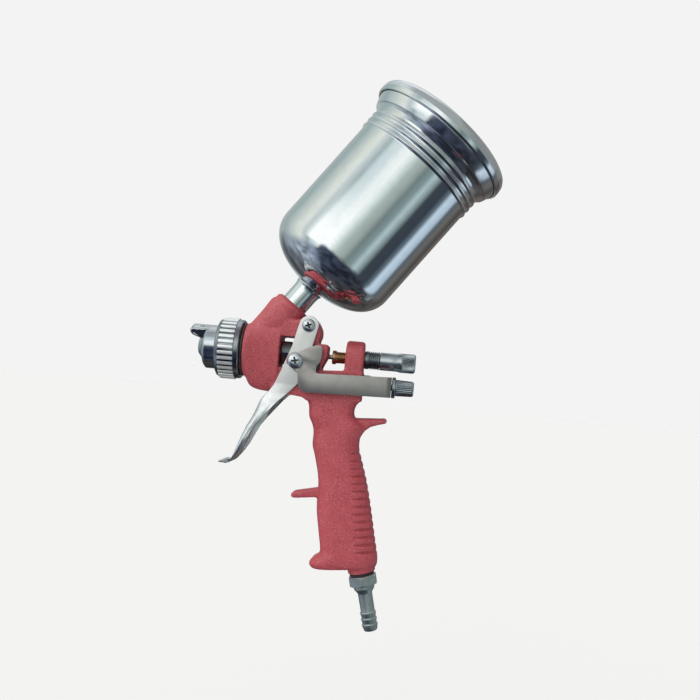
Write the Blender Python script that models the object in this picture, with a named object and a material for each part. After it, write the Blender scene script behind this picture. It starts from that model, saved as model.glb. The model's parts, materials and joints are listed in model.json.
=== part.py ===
"""Gravity-feed spray gun: a powder-coated pistol casting, a metal cup on a leaning neck, a stamped
trigger that pulls a U-shaped stirrup, and the fluid and air parts inside.

All sizes are in millimetres in the gun's own datum: the fluid needle lies on the X axis with the
nozzle towards -X, +Z is up, Y = 0 is the plane of symmetry, and X = 0 is under the trigger pivot.
The meshes are built in metres, and the datum is placed so that the grip's centre is the origin.
"""
import math

import bmesh
import bpy
from mathutils import Matrix, Vector

MM = 0.001
GAP = 0.3                       # clearance between a piece and its neighbour

# Where the hand holds the gun, and the handle's rake from the vertical
GRIP_X, GRIP_Z = 29.0, -75.0
RAKE = 14.0

# Widths across the gun, as distances from the plane of symmetry
BODY_HALF = 10.8
TRIGGER_IN, TRIGGER_OUT = 11.2, 12.8
STIRRUP_IN, STIRRUP_OUT = 13.1, 14.8

# Trigger pivot, the pin that links trigger and stirrup, and the air valve's axis
PIVOT_X, PIVOT_Z = 0.0, 18.3
LINK_X, LINK_Z = -6.4, -4.9
VALVE_Z = -16.3

# Head, spigot and front parts along the needle axis
HEAD_FRONT = -40.8
SPIGOT_FRONT, SPIGOT_R = -48.0, 15.1
RING_R = 20.0
CAP_R = 14.2
HORN_TIP = -76.9
HORN_HALF = 4.2
HORN_TURN = 27.0                # the cap's horns are turned this far about the needle axis

# Window through the casting, where the pin pushes the needle's collar
WINDOW_FRONT, WINDOW_BACK, WINDOW_TOP, WINDOW_FLOOR = -17.6, 9.0, 10.5, -9.6
NEEDLE_R = 1.5

# Needle control at the back
POST_FRONT, POST_BACK = 24.6, 36.7
BUSH_R = 3.8
BARREL_R, BARREL_END = 5.8, 46.5
THREAD_R, THREAD_END = 4.6, 58.3   # the barrel's threaded tube, under the knob's sleeve
KNOB_R, KNOB_END = 6.25, 69.8

# Air valve at the back of the casting
CASTING_BACK = 37.2
VALVE_BORE_R, VALVE_BORE_FRONT = 6.0, 11.0
STIRRUP_BACK = 55.5
VALVE_KNOB_END = 70.0

# Cup: its axis leans back over the gun and passes in front of the datum
CUP_LEAN = 36.6
CUP_AXIS_OFFSET = 28.8
BOSS_END, BOSS_R = 18.6, 11.6
NECK_R = 8.9
CUP_R, CUP_WALL = 43.2, 1.2
DOME_TOP, DOME_DEPTH, DOME_POWER = 60.5, 27.0, 2.2
BEADS = (135.5, 140.0, 144.5)
BEAD_HEIGHT = 1.0
MOUTH_R, MOUTH_END = 49.0, 161.4
LID_R, LID_TOP = 51.0, 167.6

# Air inlet at the foot of the handle
INLET_X, INLET_Z = 46.5, -133.2
DUCT_R = 3.5
TAIL_END = 39.0                 # length of the hose tail below the inlet's datum

DATUM = None
SCENE = bpy.context.scene


# ---------------------------------------------------------------- scene and material helpers

def clear_scene():
    for old in list(bpy.data.objects):
        bpy.data.objects.remove(old, do_unlink=True)


def make_material(name, colour, roughness, metallic):
    mat = bpy.data.materials.new(name)
    mat.use_nodes = True
    shader = mat.node_tree.nodes["Principled BSDF"]
    shader.inputs["Base Color"].default_value = (*colour, 1.0)
    shader.inputs["Roughness"].default_value = roughness
    shader.inputs["Metallic"].default_value = metallic
    mat.diffuse_color = (*colour, 1.0)
    return mat


# ---------------------------------------------------------------- mesh helpers, in millimetres

def finish_mesh(name, bm):
    """Turns a bmesh drawn in millimetres into a mesh in metres with outward faces."""
    bmesh.ops.recalc_face_normals(bm, faces=bm.faces)
    bmesh.ops.scale(bm, vec=(MM, MM, MM), verts=bm.verts)
    mesh = bpy.data.meshes.new(name)
    bm.to_mesh(mesh)
    bm.free()
    mesh.shade_smooth()
    mesh.set_sharp_from_angle(angle=math.radians(32))
    return mesh


def bridge(bm, first, second):
    """Side faces between two rings of vertices; a ring of one vertex is a point on the axis."""
    count = max(len(first), len(second))
    for i in range(count):
        j = (i + 1) % count
        corners = [first[i % len(first)], first[j % len(first)],
                   second[j % len(second)], second[i % len(second)]]
        bm.faces.new(list(dict.fromkeys(corners)))


def lathe_mesh(name, profile, segments=24, knurl=None):
    """Turns (along, radius) points about local Z. A profile that starts and ends on the axis makes a
    solid body, and any other is closed from its last point to its first. knurl is (bars, depth, from,
    to, least): between those places along the axis, radii over least fall by depth between bars."""
    bm = bmesh.new()
    rings = []
    for along, radius in profile:
        if radius < 1e-6:
            rings.append([bm.verts.new((0, 0, along))])
            continue
        ring = []
        for i in range(segments):
            angle = 2 * math.pi * i / segments
            r = radius
            if knurl and knurl[2] <= along <= knurl[3] and radius > knurl[4]:
                place = (i * knurl[0] / segments) % 1.0
                r = radius if place > 0.25 else radius - knurl[1]
            ring.append(bm.verts.new((r * math.cos(angle), r * math.sin(angle), along)))
        rings.append(ring)
    for first, second in zip(rings, rings[1:] + rings[:1]):
        if len(first) > 1 or len(second) > 1:
            bridge(bm, first, second)
    return finish_mesh(name, bm)


def prism_mesh(name, outline, low, high, across="Y"):
    """Extrudes a closed outline: (x, z) points along Y, or (y, z) points along X."""
    bm = bmesh.new()
    if across == "Y":
        base = [bm.verts.new((a, low, b)) for a, b in outline]
        top = [bm.verts.new((a, high, b)) for a, b in outline]
    else:
        base = [bm.verts.new((low, a, b)) for a, b in outline]
        top = [bm.verts.new((high, a, b)) for a, b in outline]
    bm.faces.new(base)
    bm.faces.new(list(reversed(top)))
    bridge(bm, base, top)
    return finish_mesh(name, bm)


def loft_mesh(name, rings):
    """Skins rings of 3-D points and caps both ends."""
    bm = bmesh.new()
    made = [[bm.verts.new(p) for p in ring] for ring in rings]
    for first, second in zip(made, made[1:]):
        bridge(bm, first, second)
    bm.faces.new(made[0])
    bm.faces.new(list(reversed(made[-1])))
    return finish_mesh(name, bm)


def coil_mesh(name, radius, wire, start, end, turns, sides=4, steps=8):
    """A compression spring about local Z, as a tube swept along a helix."""
    bm = bmesh.new()
    count = turns * steps
    rings = []
    for i in range(count + 1):
        angle = 2 * math.pi * i / steps
        out = Vector((math.cos(angle), math.sin(angle), 0))
        centre = out * radius + Vector((0, 0, start + wire + (end - start - 2 * wire) * i / count))
        ring = []
        for k in range(sides):
            turn = 2 * math.pi * k / sides
            ring.append(bm.verts.new(centre + out * wire * math.cos(turn)
                                     + Vector((0, 0, wire * math.sin(turn)))))
        rings.append(ring)
    for first, second in zip(rings, rings[1:]):
        bridge(bm, first, second)
    bm.faces.new(rings[0])
    bm.faces.new(list(reversed(rings[-1])))
    return finish_mesh(name, bm)


def arc(centre_x, centre_z, radius, from_deg, to_deg, steps=6):
    """Points on an arc in an outline; angles are measured from +X towards +Z."""
    points = []
    for i in range(steps + 1):
        angle = math.radians(from_deg + (to_deg - from_deg) * i / steps)
        points.append((centre_x + radius * math.cos(angle), centre_z + radius * math.sin(angle)))
    return points


def hexagon_mesh(name, across_flats, low, high, bore):
    """A hexagonal nut about local Z with a round bore."""
    bm = bmesh.new()
    sides = 24
    rings = []
    for along, kind in ((low, "hex"), (high, "hex"), (high, "bore"), (low, "bore")):
        ring = []
        for i in range(sides):
            angle = 2 * math.pi * i / sides
            r = bore
            if kind == "hex":
                from_flat = (angle + math.pi / 6) % (math.pi / 3) - math.pi / 6
                r = across_flats / 2 / math.cos(from_flat)
            ring.append(bm.verts.new((r * math.cos(angle), r * math.sin(angle), along)))
        rings.append(ring)
    for i in range(4):
        bridge(bm, rings[i], rings[(i + 1) % 4])
    return finish_mesh(name, bm)


# ---------------------------------------------------------------- placing pieces

def place(name, mesh, material, at=(0, 0, 0), turn=(0, 0, 0)):
    """A piece at a point of the datum, turned by Euler angles in degrees."""
    obj = bpy.data.objects.new(name, mesh)
    SCENE.collection.objects.link(obj)
    obj.parent = DATUM
    obj.location = [c * MM for c in at]
    obj.rotation_euler = [math.radians(a) for a in turn]
    if material:
        mesh.materials.append(material)
    return obj


ALONG_NEEDLE = (0, 90, 0)               # local Z runs along +X
ALONG_CUP = (0, CUP_LEAN, 0)            # local Z runs up the cup's axis
DOWN_TAIL = (0, 180 - RAKE, 0)          # local Z runs down the hose tail
TO_NEAR_SIDE = (90, 0, 0)               # local Z runs along -Y
TO_FAR_SIDE = (-90, 0, 0)               # local Z runs along +Y

LEAN = math.radians(CUP_LEAN)
CUP_FOOT = (-CUP_AXIS_OFFSET * math.cos(LEAN), 0, CUP_AXIS_OFFSET * math.sin(LEAN))


def tool(name, mesh, at=(0, 0, 0), turn=(0, 0, 0)):
    """A cutter or a lump to be joined on: a guide that isn't a piece itself."""
    obj = place(name, mesh, None, at, turn)
    obj.hide_render = True
    obj.display_type = 'WIRE'
    return obj


def combine(target, other, operation):
    mod = target.modifiers.new(other.name, 'BOOLEAN')
    mod.operation = operation
    mod.solver = 'EXACT'
    mod.object = other


def turned(name, profile, material, at=(0, 0, 0), turn=ALONG_NEEDLE, segments=20, knurl=None):
    return place(name, lathe_mesh(name, profile, segments, knurl), material, at, turn)


def drill(target, name, radius, low, high, at=(0, 0, 0), turn=ALONG_NEEDLE, segments=18):
    """Cuts a round hole about local Z from low to high."""
    profile = [(low, 0), (low, radius), (high, radius), (high, 0)]
    combine(target, tool(name, lathe_mesh(name, profile, segments), at, turn), 'DIFFERENCE')


def drill_stepped(target, name, steps, at=(0, 0, 0), turn=ALONG_NEEDLE, segments=20):
    """Cuts coaxial holes in one go: steps are (from, to, radius), each starting where the last ends."""
    profile = [(steps[0][0], 0)]
    for low, high, radius in steps:
        profile += [(low, radius), (high, radius)]
    profile.append((steps[-1][1], 0))
    combine(target, tool(name, lathe_mesh(name, profile, segments), at, turn), 'DIFFERENCE')


def tube_profile(low, high, outer, inner):
    return [(low, inner), (low, outer), (high, outer), (high, inner)]


def oval(front, back, half_width, power, count=22):
    """A rounded section as (along, across) pairs between front and back."""
    points = []
    for i in range(count):
        angle = 2 * math.pi * i / count
        c, s = math.cos(angle), math.sin(angle)
        points.append(((front + back) / 2 + (back - front) / 2 * math.copysign(abs(c) ** (2 / power), c),
                       half_width * math.copysign(abs(s) ** (2 / power), s)))
    return points


# ---------------------------------------------------------------- the casting

def head_lump():
    """The head swells from a round flange into a deep belly over the trigger."""
    sections = [  # x, lowest z, highest z, half width, squareness
        (HEAD_FRONT, -17.2, 17.2, 17.2, 2.0),
        (-39.3, -18.0, 17.5, 17.3, 2.0),
        (-38.2, -19.8, 18.4, 16.9, 2.1),
        (-36.6, -22.4, 19.2, 16.4, 2.2),
        (-35.0, -23.8, 20.0, 15.8, 2.2),
        (-31.0, -25.1, 21.5, 14.6, 2.4),
        (-26.0, -25.7, 22.0, 13.6, 2.6),
        (-21.5, -26.1, 22.0, 12.8, 2.8),
        (WINDOW_FRONT, -26.4, 22.0, 12.3, 3.0),
    ]
    rings = []
    for x, low, high, half, power in sections:
        rings.append([(x, across, along) for along, across in oval(low, high, half, power, 28)])
    return loft_mesh("head_lump", rings)


def middle_outline():
    """Side view of the plate that carries lug, rear boss and deck, from the head to the back."""
    points = [(-21.0, 21.4), (-9.0, 21.8), (-5.0, 22.4)]
    points += arc(-0.6, 14.6, 8.6, 98, 2, 7)
    points += [(8.0, 12.6), (6.8, 9.2), (6.9, 7.4), (12.6, 7.4), (13.3, 6.4), (13.1, -0.5)]
    points += [(9.8, -7.6), (9.8, -9.3), (25.0, -8.3), (CASTING_BACK, -8.3)]
    points += [(CASTING_BACK, -27.4), (2.4, -29.4), (-0.5, -27.5), (-6.0, -26.8), (-21.0, -26.0)]
    return points


def handle_lump():
    """The grip tapers up to a neck, and its foot runs out into a toe at the front."""
    sections = [  # z at the front, z at the back, front x, back x, half width
        (-24.0, -23.0, 2.2, 36.6, 10.2),
        (-28.5, -26.5, 2.6, 36.5, 10.5),
        (-33.0, -31.0, 3.9, 33.6, 10.7),
        (-39.5, -37.5, 4.6, 34.0, 10.9),
        (-44.5, -43.0, 7.0, 42.0, 11.0),
        (-49.5, -49.0, 8.1, 38.8, 11.1),
        (-57.5, -56.5, 8.2, 38.4, 11.3),
        (-64.5, -64.0, 10.4, 40.7, 11.5),
        (-79.5, -79.0, 14.0, 45.6, 11.8),
        (-97.0, -97.0, 14.5, 50.0, 12.0),
        (-112.0, -110.0, 17.1, 52.9, 12.2),
        (-124.5, -120.0, 19.1, 55.2, 12.3),
        (-128.0, -124.0, 15.6, 56.0, 12.3),
        (-132.0, -128.0, 12.9, 56.3, 12.2),
        (-135.6, -131.2, 14.2, 55.6, 11.6),
        (-136.4, -132.2, 16.2, 54.6, 10.6),
    ]
    rings = []
    for z_front, z_back, front, back, half in sections:
        ring = []
        for along, across in oval(front, back, half, 2.7):
            share = (along - front) / (back - front)
            ring.append((along, across, z_front + (z_back - z_front) * share))
        rings.append(ring)
    return loft_mesh("handle_lump", rings)


def hook_outline():
    """The hook behind the grip that rests on the web of the hand."""
    return [(30.0, -36.0), (34.5, -37.9), (49.6, -36.9), (53.4, -36.4), (55.0, -38.0), (54.0, -39.7),
            (49.8, -40.8), (44.6, -42.6), (40.9, -45.8), (38.6, -50.0), (30.0, -52.0)]


def stub_outline():
    """The small finger stub on the front of the grip."""
    return [(20.0, -83.5), (12.6, -84.9), (-0.6, -87.9), (-2.6, -89.6), (-2.6, -91.6),
            (-0.8, -92.3), (13.2, -90.6), (20.0, -92.0)]


def boss_profile():
    return [(-6.0, 0), (-6.0, 9.0), (2.0, BOSS_R), (13.4, BOSS_R), (14.2, 12.4),
            (16.8, 12.4), (BOSS_END, 10.6), (BOSS_END, 0)]


def shoulder_lump():
    """A ridge up the front of the boss runs it straight down into the head."""
    sections = [  # distance up the cup's axis, front, back, half width
        (-14.0, -12.6, 6.0, 11.0),
        (-8.0, -13.0, 8.0, 11.2),
        (2.0, -13.1, 9.0, 11.4),
        (11.5, -13.6, 10.0, 11.5),
        (13.8, -12.9, 10.0, 11.4),
    ]
    rings = []
    for up, front, back, half in sections:
        rings.append([(along, across, up) for along, across in oval(front, back, half, 2.2, 28)])
    return loft_mesh("shoulder_lump", rings)


def make_gun_body(red):
    body = place("gun_body", head_lump(), red)
    lumps = [
        ("boss_lump", lathe_mesh("boss_lump", boss_profile(), 32), CUP_FOOT, ALONG_CUP),
        ("shoulder_lump", shoulder_lump(), CUP_FOOT, ALONG_CUP),
        ("middle_lump", prism_mesh("middle_lump", middle_outline(), -BODY_HALF, BODY_HALF), None, None),
        ("handle_lump", handle_lump(), None, None),
        ("hook_lump", prism_mesh("hook_lump", hook_outline(), -6.5, 6.5), None, None),
        ("stub_lump", prism_mesh("stub_lump", stub_outline(), -5.0, 5.0), None, None),
    ]
    post = [(-9.8, -12.0)] + list(reversed(arc(0, 1.8, 9.8, 0, 180, 10))) + [(9.8, -12.0)]
    lumps.append(("post_lump", prism_mesh("post_lump", post, POST_FRONT, POST_BACK, "X"), None, None))
    spigot = [(SPIGOT_FRONT, 0), (SPIGOT_FRONT, SPIGOT_R), (-37.0, SPIGOT_R), (-37.0, 0)]
    lumps.append(("spigot_lump", lathe_mesh("spigot_lump", spigot, 32), (0, 0, 0), ALONG_NEEDLE))
    foot = [(-12.0, 0), (-12.0, 8.8), (2.0, 8.8), (2.0, 0)]
    lumps.append(("foot_lump", lathe_mesh("foot_lump", foot, 24),
                  (INLET_X, 0, INLET_Z), DOWN_TAIL))
    for name, mesh, at, turn in lumps:
        combine(body, tool(name, mesh, at or (0, 0, 0), turn or (0, 0, 0)), 'UNION')

    window = [(WINDOW_FRONT, WINDOW_TOP), (3.2, WINDOW_TOP), (3.2, 5.8), (WINDOW_BACK, 5.8),
              (WINDOW_BACK, WINDOW_FLOOR), (WINDOW_FRONT, WINDOW_FLOOR)]
    combine(body, tool("window_cut", prism_mesh("window_cut", window, -20, 20)), 'DIFFERENCE')
    pocket = [(-16.0, -14.0), (-20.6, -20.0), (-25.0, -26.0), (-25.0, -32.0), (-8.0, -32.0),
              (-8.0, -14.0)]
    for side, low, high in (("near", -20.0, -BODY_HALF), ("far", BODY_HALF, 20.0)):
        name = side + "_pocket_cut"
        combine(body, tool(name, prism_mesh(name, pocket, low, high)), 'DIFFERENCE')

    drill_stepped(body, "nozzle_bore", [(SPIGOT_FRONT - 1, -30.0, 5.4), (-30.0, WINDOW_FRONT + 1, 5.0)])
    drill(body, "needle_guide_bore", NEEDLE_R + 0.4, WINDOW_BACK - 1, 14.5)
    drill(body, "bush_bore", BUSH_R + GAP, POST_FRONT - 1, POST_BACK + 1)
    drill_stepped(body, "cup_bore", [(-19.0, 4.0, 4.2), (4.0, BOSS_END + 1, NECK_R + GAP)],
                  CUP_FOOT, ALONG_CUP)
    drill(body, "valve_bore", VALVE_BORE_R, VALVE_BORE_FRONT, CASTING_BACK + 1, (0, 0, VALVE_Z))
    rise = math.degrees(math.atan2(4.8, 64.5))
    drill(body, "air_way", 2.3, -65.5, 1.0, (12.0, 0, VALVE_Z), (0, 90 - rise, 0))
    drill_stepped(body, "handle_duct", [(-118.0, -16.0, DUCT_R), (-16.0, 4.0, 6.2)],
                  (INLET_X, 0, INLET_Z), DOWN_TAIL)
    drill(body, "pivot_bore", 3.6, -20.0, 20.0, (PIVOT_X, 0, PIVOT_Z), TO_NEAR_SIDE)


# ---------------------------------------------------------------- front parts on the needle axis

def make_air_cap(chrome):
    """A cap with a conical face, two horns with air holes, and a flange under the ring."""
    shell = [(-71.6, 2.2), (-71.6, 5.2), (-69.0, 8.4), (-67.4, 12.6), (-66.0, CAP_R), (-56.8, CAP_R),
             (-56.8, 16.7), (-53.0, 16.7), (-53.0, 12.4), (-65.0, 12.4), (-66.4, 10.8), (-70.0, 2.2)]
    cap = turned("air_cap", shell, chrome, segments=32)
    side_view = [(6.0, -67.0), (14.1, -64.4), (14.1, -75.0), (13.0, HORN_TIP), (10.6, HORN_TIP),
                 (8.8, -75.0), (7.0, -70.2)]
    for name, angle in (("upper_horn", 180 + HORN_TURN), ("lower_horn", HORN_TURN)):
        mesh = prism_mesh(name, side_view, -HORN_HALF, HORN_HALF)
        mesh.transform(Matrix.Rotation(math.radians(angle), 4, 'Z'))
        combine(cap, tool(name, mesh, turn=ALONG_NEEDLE), 'UNION')


def make_front(mats):
    make_air_cap(mats["chrome"])
    ring = [(-42.7, 15.4), (-42.7, 17.8), (-44.0, 19.1), (-46.0, 19.1), (-46.3, RING_R), (-55.7, RING_R),
            (-55.9, 19.3), (-57.9, 18.4), (-58.9, 16.6), (-58.9, CAP_R + 0.4), (-57.1, CAP_R + 0.4),
            (-57.1, 17.1), (-47.7, 17.1), (-47.7, 15.4)]
    turned("retaining_ring", ring, mats["dark_chrome"], segments=64, knurl=(32, 0.9, -55.8, -46.2, 19.5))
    turned("head_gasket", tube_profile(-42.4, -41.1, 17.1, 15.4), mats["black_rubber"])
    disc = [(-52.0, 5.7), (-52.0, 10.0), (-50.6, 12.0), (-50.6, 16.7), (-48.3, 16.7), (-48.3, 5.7)]
    baffle = turned("air_distributor", disc, mats["brass"], segments=28)
    for i in range(6):
        angle = 2 * math.pi * (i + 0.37) / 6
        drill(baffle, f"air_hole_{i + 1}", 1.1, -54.0, -46.0,
              (0, 13.9 * math.cos(angle), 13.9 * math.sin(angle)), segments=6)
    nozzle = [(-70.8, 0.7), (-70.8, 1.5), (-68.0, 1.9), (-67.0, 3.6), (-57.0, 4.4), (-57.0, 7.6),
              (-52.4, 7.6), (-52.4, 5.1), (-38.5, 5.1), (-38.5, 2.4), (-66.4, 2.4), (-69.0, 1.9)]
    turned("fluid_nozzle", nozzle, mats["steel"], segments=18)


def make_needle(mats):
    needle = [(-70.6, 0), (-70.6, 0.3), (-69.3, 0.45), (-66.0, NEEDLE_R), (44.6, NEEDLE_R), (44.6, 3.0),
              (46.2, 3.0), (46.2, 0.9), (50.0, 0.9), (50.0, 0)]
    turned("needle", needle, mats["steel"], segments=16)
    collar = [(-3.1, NEEDLE_R + 0.1), (-3.1, 4.8), (-2.7, 5.2), (1.9, 5.2), (2.3, 4.8),
              (2.3, NEEDLE_R + 0.1)]
    turned("needle_collar", collar, mats["brass"], segments=24)
    turned("needle_packing", tube_profile(-28.5, -24.4, 4.7, NEEDLE_R + 0.05), mats["white_seal"],
           segments=24)
    nut = place("packing_nut", hexagon_mesh("packing_nut", 15.0, -17.0, -10.6, NEEDLE_R + 0.4),
                mats["zinc"], turn=ALONG_NEEDLE)
    shank = tool("packing_nut_shank", lathe_mesh("packing_nut_shank",
                 tube_profile(-24.0, -16.0, 4.6, NEEDLE_R + 0.4), 24), turn=ALONG_NEEDLE)
    combine(nut, shank, 'UNION')


# ---------------------------------------------------------------- needle control at the back

def make_needle_control(mats):
    bush = [(15.9, NEEDLE_R + 0.3), (15.9, 4.2), (16.2, 4.5), (18.2, 4.5), (18.5, BUSH_R),
            (44.0, BUSH_R), (44.0, NEEDLE_R + 0.3)]
    turned("control_bush", bush, mats["brass"])
    grooves = []
    for centre in (40.6, 42.6, 44.6):
        grooves += [(centre - 0.6, BARREL_R), (centre, BARREL_R - 0.6), (centre + 0.6, BARREL_R)]
    barrel = [(POST_BACK + GAP, BUSH_R + GAP), (POST_BACK + GAP, BARREL_R - 0.3),
              (POST_BACK + 0.6, BARREL_R)] + grooves
    barrel += [(BARREL_END - 0.3, BARREL_R), (BARREL_END, BARREL_R - 0.3), (BARREL_END, THREAD_R),
               (THREAD_END, THREAD_R), (THREAD_END, THREAD_R - 1.0), (44.3, THREAD_R - 1.0),
               (44.3, BUSH_R + GAP)]
    turned("spring_barrel", barrel, mats["zinc"])
    place("needle_spring", coil_mesh("needle_spring", 2.6, 0.4, 46.5, 63.4, 8), mats["steel"],
          turn=ALONG_NEEDLE)
    turned("needle_stop", [(63.7, 0), (63.7, 3.1), (66.0, 3.1), (66.0, 0)], mats["steel"], segments=20)
    sleeve_r = THREAD_R + GAP
    knob = [(BARREL_END + GAP, sleeve_r), (BARREL_END + GAP, BARREL_R - 0.3), (47.1, BARREL_R),
            (59.0, BARREL_R), (60.0, KNOB_R), (68.9, KNOB_R), (KNOB_END, 5.3), (KNOB_END, 0), (66.3, 0),
            (66.3, 3.5), (THREAD_END + GAP, 3.5), (THREAD_END + GAP, sleeve_r)]
    turned("fluid_knob", knob, mats["zinc"], segments=32, knurl=(16, 0.45, 60.0, 68.95, 6.0))


# ---------------------------------------------------------------- trigger and stirrup

def trigger_outline():
    """Side view: a strap down from the pivot that runs into a slim finger lever with a flicked tip."""
    points = arc(PIVOT_X, PIVOT_Z, 6.3, 0, 170, 10)
    points += [(-9.6, 4.6), (-12.6, -4.1), (-15.6, -12.8), (-18.9, -21.0), (-22.4, -26.3),
               (-24.9, -29.0), (-26.9, -31.6), (-28.8, -37.1), (-31.3, -43.2), (-34.0, -48.3),
               (-37.3, -57.0), (-40.1, -65.5), (-41.9, -70.6), (-44.6, -71.9), (-49.6, -72.0),
               (-49.4, -72.9), (-43.4, -73.3), (-40.9, -70.4), (-37.9, -66.3), (-35.4, -62.2),
               (-32.2, -55.4), (-29.2, -49.2), (-24.6, -42.8), (-19.8, -36.9), (-15.4, -31.4),
               (-9.6, -25.8), (-4.0, -19.6), (-0.6, -8.0), (3.4, 5.0), (5.2, 13.0)]
    return points


def inner_outline():
    """What is pressed out between the two side plates, leaving the web down the front."""
    return [(-30.0, 30.0), (-30.0, -27.6), (-23.9, -29.6), (-25.5, -32.4), (-27.3, -37.7),
            (-29.9, -43.8), (-32.6, -49.0), (-35.9, -57.6), (-38.7, -66.0), (-40.2, -69.4),
            (-36.0, -73.0), (10.0, -40.0), (14.0, 30.0)]


def flare(z):
    """The finger lever is a little wider than the straps above it."""
    if z > -26.0:
        return 1.0
    share = min(1.0, (-26.0 - z) / 14.0)
    fade = max(0.0, min(1.0, (z + 74.0) / 18.0))
    return 1.0 + 0.14 * share * (3 - 2 * share) * share * fade


def flared(mesh):
    for vertex in mesh.vertices:
        vertex.co.y *= flare(vertex.co.z / MM)
    return mesh


def make_trigger(mats):
    outer = flared(prism_mesh("trigger", trigger_outline(), -TRIGGER_OUT, TRIGGER_OUT))
    outer.transform(Matrix.Translation((-PIVOT_X * MM, 0, -PIVOT_Z * MM)))
    trigger = place("trigger", outer, mats["nickel"], (PIVOT_X, 0, PIVOT_Z))
    inside = tool("trigger_inside", flared(prism_mesh("trigger_inside", inner_outline(),
                                                      -TRIGGER_IN, TRIGGER_IN)))
    combine(trigger, inside, 'DIFFERENCE')
    drill(trigger, "trigger_pivot_hole", 2.2, -20, 20, (PIVOT_X, 0, PIVOT_Z), TO_NEAR_SIDE)
    drill(trigger, "trigger_link_hole", 2.3, -20, 20, (LINK_X, 0, LINK_Z), TO_NEAR_SIDE)


def stirrup_outline():
    """Side view of an arm: a lobe round the link, a tall lug, and a band back to the rear plate."""
    points = arc(LINK_X, LINK_Z, 5.8, 200, 78, 7)
    points += [(-1.0, 3.2), (3.6, 5.2), (6.6, 6.2), (9.0, 5.9), (10.1, 4.4), (10.1, -0.6), (9.4, -4.4),
               (7.9, -6.4), (7.2, -7.4), (7.2, -11.0), (8.4, -11.6), (STIRRUP_BACK, -10.0),
               (STIRRUP_BACK, -22.9), (30.0, -23.5), (2.0, -24.2), (-1.0, -23.4), (-2.8, -21.6),
               (-3.6, -19.0), (-4.3, -12.6)]
    return points


def make_stirrup(mats):
    outer = prism_mesh("stirrup", stirrup_outline(), -STIRRUP_OUT, STIRRUP_OUT)
    stirrup = place("stirrup", outer, mats["satin_steel"])
    back, thick, bend = STIRRUP_BACK, STIRRUP_OUT - STIRRUP_IN, 3.5
    inside = [(-30.0, -STIRRUP_IN), (back - thick - bend, -STIRRUP_IN)]
    inside += arc(back - thick - bend, -STIRRUP_IN + bend, bend, -90, 0, 4)[1:]
    inside += arc(back - thick - bend, STIRRUP_IN - bend, bend, 0, 90, 4)
    inside += [(-30.0, STIRRUP_IN)]
    combine(stirrup, tool("stirrup_inside", flat_mesh("stirrup_inside", inside, -40, 40)), 'DIFFERENCE')
    outside = [(back - bend, -STIRRUP_OUT - 3)]
    outside += [(back - bend, -STIRRUP_OUT)]
    outside += arc(back - bend, -STIRRUP_OUT + bend, bend, -90, 0, 4)[1:]
    outside += [(back + 3, -STIRRUP_OUT + bend), (back + 3, -STIRRUP_OUT - 3)]
    for side, sign in (("near", 1), ("far", -1)):
        outline = [(x, sign * y) for x, y in outside]
        name = side + "_corner_cut"
        combine(stirrup, tool(name, flat_mesh(name, outline, -40, 40)), 'DIFFERENCE')
    drill(stirrup, "stirrup_link_hole", 2.3, -20, 20, (LINK_X, 0, LINK_Z), TO_NEAR_SIDE)
    drill(stirrup, "stirrup_rod_hole", 2.9, back - 8, back + 2, (0, 0, VALVE_Z))


def flat_mesh(name, outline, low, high):
    """Extrudes a closed outline of (x, y) points along Z."""
    bm = bmesh.new()
    base = [bm.verts.new((x, y, low)) for x, y in outline]
    top = [bm.verts.new((x, y, high)) for x, y in outline]
    bm.faces.new(base)
    bm.faces.new(list(reversed(top)))
    bridge(bm, base, top)
    return finish_mesh(name, bm)


def make_screw(name, head_r, shank_r, seat, reach, at, turn, mats):
    """A cross-head machine screw: local Z points out of the gun, seat is the head's underside."""
    head_h = 2.1
    profile = [(reach, 0), (reach, shank_r), (seat, shank_r), (seat, head_r), (seat + 0.7, head_r),
               (seat + 1.5, head_r * 0.82), (seat + head_h, head_r * 0.5), (seat + head_h, 0)]
    screw = turned(name, profile, mats["zinc"], at, turn, segments=16)
    for k, angle in enumerate((20, 110)):
        half = head_r * 0.55
        outline = [(-half, -0.45), (half, -0.45), (half, 0.45), (-half, 0.45)]
        slot = flat_mesh(f"{name}_slot_{k + 1}", outline, seat + head_h - 1.2, seat + head_h + 1)
        slot.transform(Matrix.Rotation(math.radians(angle), 4, 'Z'))
        combine(screw, tool(f"{name}_slot_{k + 1}", slot, at, turn), 'DIFFERENCE')


def make_linkage_pins(mats):
    pivot, link = (PIVOT_X, 0, PIVOT_Z), (LINK_X, 0, LINK_Z)
    end = TRIGGER_IN - GAP
    turned("pivot_sleeve", tube_profile(-end, end, 3.3, 2.2), mats["steel"], pivot, TO_NEAR_SIDE, 20)
    pin = turned("link_pin", [(-end, 0), (-end, 2.9), (end, 2.9), (end, 0)], mats["steel"], link,
                 TO_NEAR_SIDE, 20)
    for side, turn in (("near", TO_NEAR_SIDE), ("far", TO_FAR_SIDE)):
        drill(pin, f"link_pin_{side}_bore", 2.15, 4.5, 20, link, turn, 16)
        make_screw(f"pivot_screw_{side}", 4.2, 1.9, TRIGGER_OUT + GAP, 5.0, pivot, turn, mats)
        make_screw(f"link_screw_{side}", 4.9, 1.85, STIRRUP_OUT + GAP, 5.0, link, turn, mats)


# ---------------------------------------------------------------- air valve

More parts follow.
